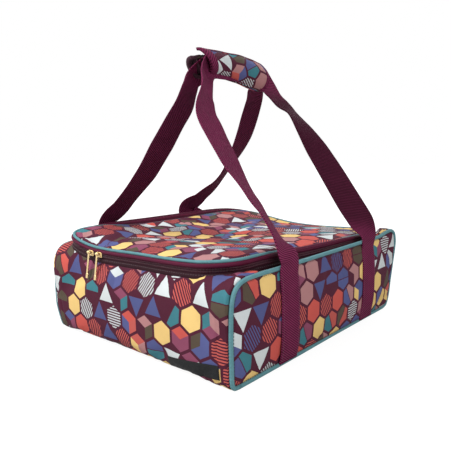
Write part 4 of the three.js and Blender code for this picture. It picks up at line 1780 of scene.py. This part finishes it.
@dataclass
class Handle:
    """One webbing strap, sewn to a side panel at both ends and held by the grip in between."""

    bench: Bench
    notions: Notions
    panel: BVHTree
    sign: int
    legs: tuple[tuple[Station, ...], tuple[Station, ...]]
    width: float = 32.6
    thickness: float = 1.7
    foot_y: float = 90.0
    strap_x: float = 153.0
    pivot_z: float = 113.0
    bend_half: float = 7.0
    foot_top: float = 106.0
    foot_lift: float = 1.1
    foot_heights: tuple[float, ...] = (5.0, 9.0, 18.0, 34.0, 52.0, 70.0, 86.0, 97.0)
    hem: Pair = (151.0, 3.4)
    grip_x: float = 4.3
    grip_places: tuple[float, ...] = (-46.0, -34.0, 0.0, 38.0, 54.0)
    grip_height: float = 329.5
    grip_droop: float = 0.08
    grip_sink: float = 5.0
    grip_curl: Pair = (150.0, 60.0)
    step: float = 3.0
    stitch_edge: float = 2.4
    stitch_lift: float = 2.05
    stitch_heights: Pair = (8.0, 97.0)
    # How much painted shade the free front and rear legs take, on the left and then on the right.
    leg_shades: tuple[Pair, Pair] = ((0.45, 0.4), (0.0, 0.75))

    @property
    def side(self) -> str:
        """The handle's side in words."""
        return hand(self.sign)

    def build(self) -> None:
        """Makes the strap and the stitches on its feet."""
        path, twist, curl = self._route()
        form = self._ribbon(path, twist, curl)
        strap = self.bench.sewn(f"{self.side}_strap", form, Finish.WEBBING)
        self._shade(strap)
        body = f"{self.side}_handle"
        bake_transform(strap)
        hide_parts(f"{self.side}_strap_loop", f"{self.side}_front_strap_foot",
                    f"{self.side}_rear_strap_foot")
        self.bench.report(strap, f"bag and {body}")
        self._stitches()

    def _shade(self, strap: Piece) -> None:
        """Marks the free legs that turn from the light.

        Args:
            strap: The strap.
        """
        front, rear = self.leg_shades[self.sign > 0]
        place = np.array([v.co for v in strap.data.vertices]) / MM
        free = smooth(place[:, 2], 106, 140) * (1 - smooth(place[:, 2], 285, 312))
        shade = free * np.where(place[:, 1] < 0, front, rear)
        mark = strap.data.attributes.new(SHADE, "FLOAT", "POINT")
        mark.data.foreach_set("value", shade.astype(np.float32))

    def _on_panel(self, y: float, z: float) -> float:
        """Gives how far out the side panel's face is."""
        hit = self.panel.ray_cast(Vector((self.sign * 200, y, z)), Vector((-self.sign, 0, 0)))[0]
        return abs(hit.x) if hit is not None else self.strap_x - 1.2

    def _foot(self, y: float) -> list[Station]:
        """Gives the sewn part of a leg, from its hem up to the top of the panel.

        Args:
            y: Where the leg stands, from front to back.

        Returns:
            The leg's stations.
        """
        hem = Station(self.sign * self.hem[0], y, self.hem[1])
        flat = [Station(self.sign * (self._on_panel(y, z) + self.foot_lift), y, z) for z in self.foot_heights]
        top = [Station(self.sign * self.strap_x, y, z) for z in (self.foot_top, self.pivot_z)]
        return [hem, *flat, *top]

    def _route(self) -> tuple[Array, Array, Array]:
        """Gives the strap's middle line, twist and curl at even steps.

        Returns:
            Points, and the twist and curl at each in radians.
        """
        y = np.array(self.grip_places)
        heights = self.grip_height - self.grip_droop * y - self.grip_sink * smooth(-y, 0, 50)
        curls = self.grip_curl[self.sign > 0] * smooth(-y, -20, 40)
        in_grip = [Station(self.sign * self.grip_x, *place) for place in zip(y, heights, 0 * y, curls)]
        front, rear = (self._foot(end * self.foot_y) for end in (-1, 1))
        stations = [*front, *self.legs[0], *in_grip, *self.legs[1], *rear[::-1]]
        fine = 12
        line = curve_through([(s.x, s.y, s.z) for s in stations], fine=fine)
        dense, sparse = np.arange(len(line)), np.arange(len(stations)) * fine
        turn = np.interp(dense, sparse, [s.twist for s in stations])
        bend = np.interp(dense, sparse, [s.curl for s in stations])
        run = travel(line)
        stops = np.linspace(0, run[-1], int(run[-1] / self.step))
        path = np.stack([np.interp(stops, run, line[:, k]) for k in range(3)], axis=1)
        kernel = np.hanning(11)[1:-1] / np.hanning(11).sum()
        soft = [np.convolve(np.pad(np.interp(stops, run, values), 4, "edge"), kernel, "valid")
                for values in (turn, bend)]
        return path, np.radians(soft[0]), np.radians(soft[1])

    def _ribbon(self, path: Array, twist: Array, curl: Array) -> Form:
        """Lays flat webbing along a path.

        Args:
            path: Its middle line.
            twist: Its turn about the line.
            curl: The angle that its width curls through.

        Returns:
            The closed ribbon.
        """
        way = unit(np.gradient(path, axis=0))
        wide = unit(np.cross(way, [1.0, 0.0, 0.0]))
        face = np.cross(way, wide)
        across = np.cos(twist)[:, None] * wide + np.sin(twist)[:, None] * face
        normal = np.cross(way, across)
        places = np.array([-1, -0.96, -0.72, -0.36, 0, 0.36, 0.72, 0.96, 1])
        thin = np.where(np.abs(places) > 0.99, 0.45, 1.0) * self.thickness / 2
        bend = np.maximum(curl, 1e-3)[:, None]
        angle = bend / 2 * places[None]
        radius = self.width / bend
        flat = radius * np.sin(angle)
        dish = radius * np.cos(angle) - radius
        rows = []
        for level, order in ((1, slice(None)), (-1, slice(None, None, -1))):
            lift = dish + level * thin[None]
            p = path[:, None] + flat[..., None] * across[:, None] + lift[..., None] * normal[:, None]
            rows.append(p[:, order])
        points = np.concatenate(rows, axis=1)
        over = np.r_[places, places[::-1], places[:1]] * self.width / 2 + self.width / 2
        return Form().tube(points, np.stack(np.meshgrid(over, travel(path)), axis=-1))

    def _stitches(self) -> None:
        """Sews the feet down with a row along each edge."""
        rows = []
        for end in (-1, 1):
            for edge in (-1, 1):
                y = end * self.foot_y + edge * (self.width / 2 - self.stitch_edge)
                line = [(self.sign * (self._on_panel(end * self.foot_y, z) + self.stitch_lift), y, z)
                        for z in np.linspace(*self.stitch_heights, 30)]
                rows.append(np.array(line))
        row = self.notions.stitches(f"{self.side}_strap_stitches", rows, False, Finish.RED_THREAD)
        self.bench.rides(row, "bag")


@dataclass
class GripHalf:
    """One half of the padded grip: a printed wrap with maroon binding and a closure strip inside. On the left
    half the binding and the cap over its front end are dark with painted shade, where the inside of the hood
    lies in shadow.
    """

    bench: Bench
    sign: int
    radius: float = 17.4
    turn: Pair = (-86.0, 88.0)
    padding: float = 4.2
    half_length: float = 60.0
    middle: float = 330.4
    droop: float = 0.08
    arch: float = 4.4
    top_rise: float = 1.8
    rise_start: float = 35.0
    flap: float = 2.0
    flap_cloth: float = 2.8
    flap_lift: float = 0.012
    slant: float = 8.0
    front_taper: float = 0.15
    hood_taper: float = 0.08
    hood_shift: float = 2.0
    front_drop: float = 6.0
    front_end: Pair = (64.0, 54.0)
    # How many rings the front binding covers; the left half's deeper binding widens the sheet of painted
    # shade at the hood's mouth.
    front_binding_and_shade: tuple[int, int] = (5, 4)
    end_taper: float = 0.07
    cap: float = 1.4
    gap: float = 0.5
    strip_half: Pair = (55.0, 9.0)
    print_start: Pair = (7700.0, 8300.0)

    @property
    def side(self) -> str:
        """The half's side in words."""
        return hand(self.sign)

    def build(self) -> None:
        """Makes the wrap, its binding and its closure strip."""
        body = f"{self.side}_handle"
        outer, inner = self._section()
        wrap = self._sweep(outer, inner)
        piece = self.bench.sewn(f"{self.side}_grip_wrap", wrap, Finish.PRINT)
        self.bench.rides(piece, body, f"{self.side}_grip_cover", f"{self.side}_grip_padding")
        # The left half's binding and cap take the dark finish of painted shade inside the hood.
        cloth = Finish.WEBBING if self.sign > 0 else Finish.SHADED
        binding = self.bench.sewn(f"{self.side}_grip_edge", self._binding(len(outer)), cloth)
        self.bench.rides(binding, body, f"{self.side}_grip_binding")
        strip = "right_hook_strip" if self.sign > 0 else "left_loop_strip"
        self._closure(strip, body)

    def _section(self) -> tuple[Array, Array]:
        """Gives the wrap's outer and inner line across the grip, as out and up, from the bottom up.

        Returns:
            The outer and the inner line.
        """
        turn = np.radians(np.linspace(*self.turn, 30))
        rise = 0 * turn
        if self.sign > 0:
            rise = self.top_rise * smooth(turn, math.radians(self.rise_start), math.radians(self.turn[1]))
        ring = np.stack([np.cos(turn), np.sin(turn)], axis=1)
        outer = ring * (self.radius + rise)[:, None]
        inner = ring * (self.radius + rise - self.padding)[:, None]
        if self.sign > 0:
            reach = np.linspace(1, self.flap, 6)
            height = outer[-1, 1] + self.flap_lift * reach**2
            outer = np.vstack([outer, np.c_[-reach, height]])
            inner[-6:, 1] += np.linspace(0, 1, 6) * (self.padding - self.flap_cloth)
            inner = np.vstack([inner, np.c_[-reach, height - self.flap_cloth]])
        return outer, inner

    def _axis(self, y: Array) -> Array:
        """Gives the height of the grip's middle along its length."""
        low = self.front_drop * smooth(-np.asarray(y), 8, self.half_length) if self.sign < 0 else 0.0
        return self.middle - self.droop * y - self.arch * (y / self.half_length) ** 2 - low

    def _sweep(self, outer: Array, inner: Array) -> Form:
        """Sweeps the wrap along the grip.

        Args:
            outer: Its outer line.
            inner: Its inner line.

        Returns:
            The closed wrap.
        """
        section = np.vstack([outer, inner[::-1]])
        wide = travel(np.vstack([section, section[:1]]))
        ys = np.linspace(-self.front_end[self.sign > 0], self.half_length, 40)
        points = np.zeros((len(ys), len(section), 3))
        for i, y in enumerate(ys):
            end = 1 - self.end_taper * smooth(abs(y), self.half_length - 9, self.half_length)
            end -= self.front_taper * smooth(-y, -40, 20)
            if self.sign < 0:
                end -= self.hood_taper * smooth(-y, 20, 56)
            lump = 1 + 0.018 * math.sin(y / 13 + self.sign) + 0.012 * math.sin(y / 5.3)
            points[i, :, 0] = self.sign * np.maximum(section[:, 0], -self.flap) * (end * lump)
            points[i, :, 0] += self.sign * self.gap
            if self.sign < 0:
                points[i, :, 0] -= self.hood_shift * smooth(-y, 20, 58) * smooth(-points[i, :, 0], 0, 8)
            skew = self.slant * smooth(-y, 0, self.half_length) * (section[:, 1] / self.radius)
            points[i, :, 1] = y - skew
            points[i, :, 2] = section[:, 1] * end * lump + self._axis(y)
        self.rings = points
        uv = np.stack(np.meshgrid(wide + self.print_start[self.sign > 0], ys), axis=-1)
        return Form().tube(points, uv)

    def _binding(self, count: int) -> Form:
        """Folds maroon tape over the wrap's free edges.

        Args:
            count: How many points the wrap's outer line has.

        Returns:
            The tape as one form.
        """
        form = Form()
        ends = [(ring[:count], ring[count:][::-1]) for ring in self.rings]
        depth = self.front_binding_and_shade[self.sign > 0]
        self._fold(form, ends[depth::-1])
        self._fold(form, ends[-3:])
        if self.sign > 0:
            edge = [(self.rings[:, j], self.rings[:, 2 * count - 1 - j]) for j in range(count - 11, count)]
            self._fold(form, edge)
        else:
            self._cap(form, self.rings[2, count:])
        return form

    def _cap(self, form: Form, edge: Array) -> None:
        """Closes the front end of a half, over the folded strap, with the wrap's inner line there. The cap is
        a dark sheet of painted shade, in the left half's binding finish.
        """
        uv = np.stack(np.meshgrid(np.arange(len(edge) + 1.0), [0.0, self.cap]), axis=-1)
        form.tube(np.stack([edge, edge + [0, self.cap, 0]]), uv)

    @staticmethod
    def _fold(form: Form, layers: list[tuple[Array, Array]], proud: float = 0.55, back: int = 3) -> None:
        """Adds one folded length of tape round an edge, lying on the wrap.

        Args:
            form: The form to add to.
            layers: The wrap's outer and inner lines beside the edge, the edge's own last.
            proud: How far the tape stands off the wrap.
            back: How many of the lines it covers on the inside.
        """
        outs = [unit(outer - inner) for outer, inner in layers]
        front, rear = layers[-1]
        past = unit(front - layers[-2][0]) * proud
        lines = [layers[0][0] + outs[0] * 0.1]
        lines += [outer + out * proud for (outer, _), out in zip(layers, outs)]
        lines += [front + past + outs[-1] * 0.1, rear + past - outs[-1] * 0.1]
        inside = list(zip(layers, outs))[::-1][:back]
        lines += [inner - out * proud for (_, inner), out in inside]
        lines.append(inside[-1][0][1] - inside[-1][1] * 0.1)
        uv = np.stack(np.meshgrid(travel(front), np.arange(len(lines) + 1) * 2.0, indexing="ij"), axis=-1)
        form.tube(np.stack(lines, axis=1), uv)

    def _closure(self, node: str, body: str) -> None:
        """Makes the hook or loop strip that holds the halves together.

        Args:
            node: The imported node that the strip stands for.
            body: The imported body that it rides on.
        """
        form = Form()
        low, high = sorted((self.sign * 0.2, self.sign * 1.0))
        half_length, half_width = self.strip_half
        ys = np.linspace(-half_length, half_length, 12)
        for a, b in zip(ys[:-1], ys[1:]):
            z = self._axis((a + b) / 2)
            form.block((low, a + 0.1, z - half_width), (high, b - 0.1, z + half_width), 0.2, 1)
        self.bench.rides(self.bench.sewn(f"{self.side}_closure_strip", form, Finish.GRIPPY), body, node)


# Inside and label

@dataclass
class Inside:
    """The foil tub inside the bag."""

    bench: Bench
    shape: Shape
    inset: float = 7.4
    half_width: float = 140.2
    rim_height: float = 96.4
    foil: float = 0.6
    ripple: float = 0.3

    def build(self) -> None:
        """Makes the tub."""
        loop = self.shape.side.loop(self.inset, 500)
        top = np.flatnonzero(loop[:, 1] <= self.rim_height)
        breaks = np.flatnonzero(np.diff(top) > 1)
        order = np.r_[top[breaks[0] + 1:], top[:breaks[0] + 1]] if len(breaks) else top
        line = even(loop[order], 110)
        x, far = np.meshgrid(np.linspace(-self.half_width, self.half_width, 50), travel(line))
        y, z = (np.broadcast_to(line[:, k, None], x.shape) for k in (0, 1))
        ripple = self.ripple * np.sin(far / 9 + np.sin(x / 23) * 2)
        form = Form().grid(np.dstack([x, y, z + ripple]), np.dstack([x, far]))
        for sign in (-1, 1):
            self._end(form, line, sign)
        tub = self.bench.sewn("foil_tub", form, Finish.LINING, closed=False)
        wall = tub.modifiers.new("wall", "SOLIDIFY")
        wall.thickness = self.foil * MM
        wall.offset = 0.0
        self.bench.rides(tub, "bag", "lining_tub")

    def _end(self, form: Form, line: Array, sign: int) -> None:
        """Closes one end of the tub.

        Args:
            form: The tub.
            line: The tub's line from rim to rim.
            sign: -1 for the left and 1 for the right.
        """
        half = len(line) // 2
        front, back = line[:half], line[::-1][:half]
        t = np.linspace(0, 1, 40)[None, :, None]
        flat = front[:, None] * (1 - t) + back[:, None] * t
        x = np.full(flat.shape[:2], sign * self.half_width)
        x += 0.4 * np.sin(flat[..., 0] / 17) * np.sin(flat[..., 1] / 11)
        form.grid(np.dstack([x, flat]), flat, flip=sign > 0)


@dataclass
class Label:
    """The bare black label low on the front."""

    bench: Bench
    front: BVHTree
    left: float = 65.0
    right: float = 137.0
    bottom: float = 1.6
    height: float = 14.2
    rise: float = 8.8
    proud: float = 0.9
    thickness: float = 0.8

    def build(self) -> None:
        """Makes the label on the front's face."""
        xs, zs = np.linspace(self.left, self.right, 34), np.linspace(0, self.height, 9)
        x, up = np.meshgrid(xs, zs)
        z = self.bottom + up + self.rise * (x - self.left) / (self.right - self.left)
        y = np.vectorize(self._face)(x, z)
        points = np.dstack([x, y - self.proud, z])
        piece = self.bench.panel("bare_label", points, np.dstack([x, up]), Finish.LABEL, (0, -1, 0))
        self.bench.thicken(piece, self.thickness)
        self.bench.rides(piece, "bag", "front_label")

    def _face(self, x: float, z: float) -> float:
        """Gives the depth of the front's face."""
        hit = self.front.ray_cast(Vector((x, -260, z)), Vector((0, 1, 0)))[0]
        return hit.y if hit is not None else -180.0


# Studio

@dataclass
class Studio:
    """The pale floor, the soft light and the camera."""

    azimuth: float = 41.4
    elevation: float = 8.44
    roll: float = -0.885
    distance: float = 690.9
    target: Triple = (-7.87, -6.94, 124.51)
    focal_pixels: float = 510.6
    picture: int = 451
    sensor: float = 36.0
    floor_reach: float = 6.0
    floor_glow: float = 1.25
    surround: float = 0.45
    lamps: tuple[tuple[str, Triple, float, float], ...] = (
        ("key", (-520, -900, 1100), 800, 23.0),
        ("fill", (1000, -500, 620), 900, 7.5),
        ("back", (-200, 900, 900), 800, 6.0))
    lamp_aim: Triple = (0.0, 0.0, 0.12)

    def build(self) -> None:
        """Sets up the whole studio."""
        self._camera()
        self._floor()
        self._world()
        for lamp in self.lamps:
            self._lamp(*lamp)
        bpy.context.scene.view_settings.view_transform = "Standard"

    def _camera(self) -> None:
        """Stands the camera where the photograph was taken."""
        a, e, r = (math.radians(v) for v in (self.azimuth, self.elevation, self.roll))
        back = Vector((math.sin(a) * math.cos(e), -math.cos(a) * math.cos(e), math.sin(e)))
        level = Vector((math.cos(a), math.sin(a), 0))
        up = back.cross(level)
        right = level * math.cos(r) + up * math.sin(r)
        data = bpy.data.cameras.new("camera")
        data.sensor_width = self.sensor
        data.lens = self.focal_pixels / self.picture * self.sensor
        data.clip_start = 0.01
        camera = linked("camera", data)
        turn = Matrix((right, back.cross(right), back)).transposed()
        place = (Vector(self.target) + back * self.distance) * MM
        camera.matrix_world = Matrix.Translation(place) @ turn.to_4x4()
        bpy.context.scene.camera = camera

    def _floor(self) -> None:
        """Lays a plain pale floor that keeps a faint shadow."""
        mesh = bpy.data.meshes.new("floor")
        size = self.floor_reach
        corners = [(x * size, y * size, 0) for x, y in ((-1, -1), (1, -1), (1, 1), (-1, 1))]
        mesh.from_pydata(corners, [], [(0, 1, 2, 3)])
        floor = linked("floor", mesh)
        r = Recipe("floor")
        matt = r.node("ShaderNodeBsdfDiffuse", inputs={"Color": (0.5, 0.5, 0.5, 1)})
        white = r.node("ShaderNodeEmission", inputs={"Color": (1, 1, 1, 1), "Strength": self.floor_glow})
        place = r.node("ShaderNodeTexCoord", output="Object")
        far = r.node("ShaderNodeVectorMath", {"operation": "LENGTH"}, {0: place}, "Value")
        plain = (far * 1.2 - 0.1).math("MAXIMUM", 0.0).math("MINIMUM", 1.0) * 0.3 + 0.7
        shader = r.node("ShaderNodeMixShader", inputs={0: self._seen(r) * plain, 1: matt, 2: white})
        r.node("ShaderNodeOutputMaterial", inputs={"Surface": shader})
        mesh.materials.append(r.material)

    @staticmethod
    def _seen(r: Tree) -> Sock:
        """Is 1 for what the camera sees, also in a mirror or through glass.

        Args:
            r: The node tree.

        Returns:
            The switch, 0 or 1.
        """
        path = r.node("ShaderNodeLightPath", output="Is Camera Ray")
        mirror = path.math("MAXIMUM", path.also("Is Glossy Ray"))
        return mirror.math("MAXIMUM", path.also("Is Transmission Ray"))

    def _world(self) -> None:
        """Lights the studio from all round, with a white background."""
        world = bpy.data.worlds.new("studio")
        bpy.context.scene.world = world
        world.use_nodes = True
        tree = Tree(world.node_tree)
        strength = self._seen(tree) * (1 - self.surround) + self.surround
        light = tree.node("ShaderNodeBackground", inputs={"Color": (1, 1, 1, 1), "Strength": strength})
        tree.node("ShaderNodeOutputWorld", inputs={"Surface": light})

    def _lamp(self, name: str, place: Triple, size: float, watts: float) -> None:
        """Hangs one soft square lamp that looks at the carrier.

        Args:
            name: The lamp's name.
            place: Where it hangs, in millimetres.
            size: Its side, in millimetres.
            watts: Its power.
        """
        data = bpy.data.lights.new(name, "AREA")
        data.shape = "SQUARE"
        data.size = size * MM
        data.energy = watts
        lamp = linked(name, data)
        lamp.location = Vector(place) * MM
        aim = Vector(self.lamp_aim) - lamp.location
        lamp.rotation_euler = aim.to_track_quat("-Z", "Y").to_euler()


def dress_packed() -> None:
    """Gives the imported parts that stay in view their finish."""
    kept = {"base_board": Finish.BOARD, "left_zip_stop": Finish.GOLD, "right_zip_stop": Finish.GOLD}
    for node, finish in kept.items():
        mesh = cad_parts[node].data
        mesh.materials.clear()
        mesh.materials.append(finish.material)


def main() -> None:
    """Builds the studio and every sub-assembly in order."""
    logging.basicConfig(level=logging.INFO, format="%(name)s: %(message)s")
    Studio().build()
    bench = Bench()
    notions = Notions(bench)
    shape = Shape()
    bag = Bag(bench, notions, shape)
    bag.build()
    Lid(bench, notions, shape).build()
    Zip(bench, notions, shape).build()
    for name, x in SLIDERS.items():
        Runner(bench, name, x).build()
    for sign, legs in ((1, RIGHT_LEGS), (-1, LEFT_LEGS)):
        Handle(bench, notions, surface(bag.sides[sign]), sign, legs).build()
        GripHalf(bench, sign).build()
    Inside(bench, shape).build()
    Label(bench, surface(bag.front)).build()
    dress_packed()
    log.info("%d pieces made", len(bench.made))


if __name__ == "__main__":
    main()
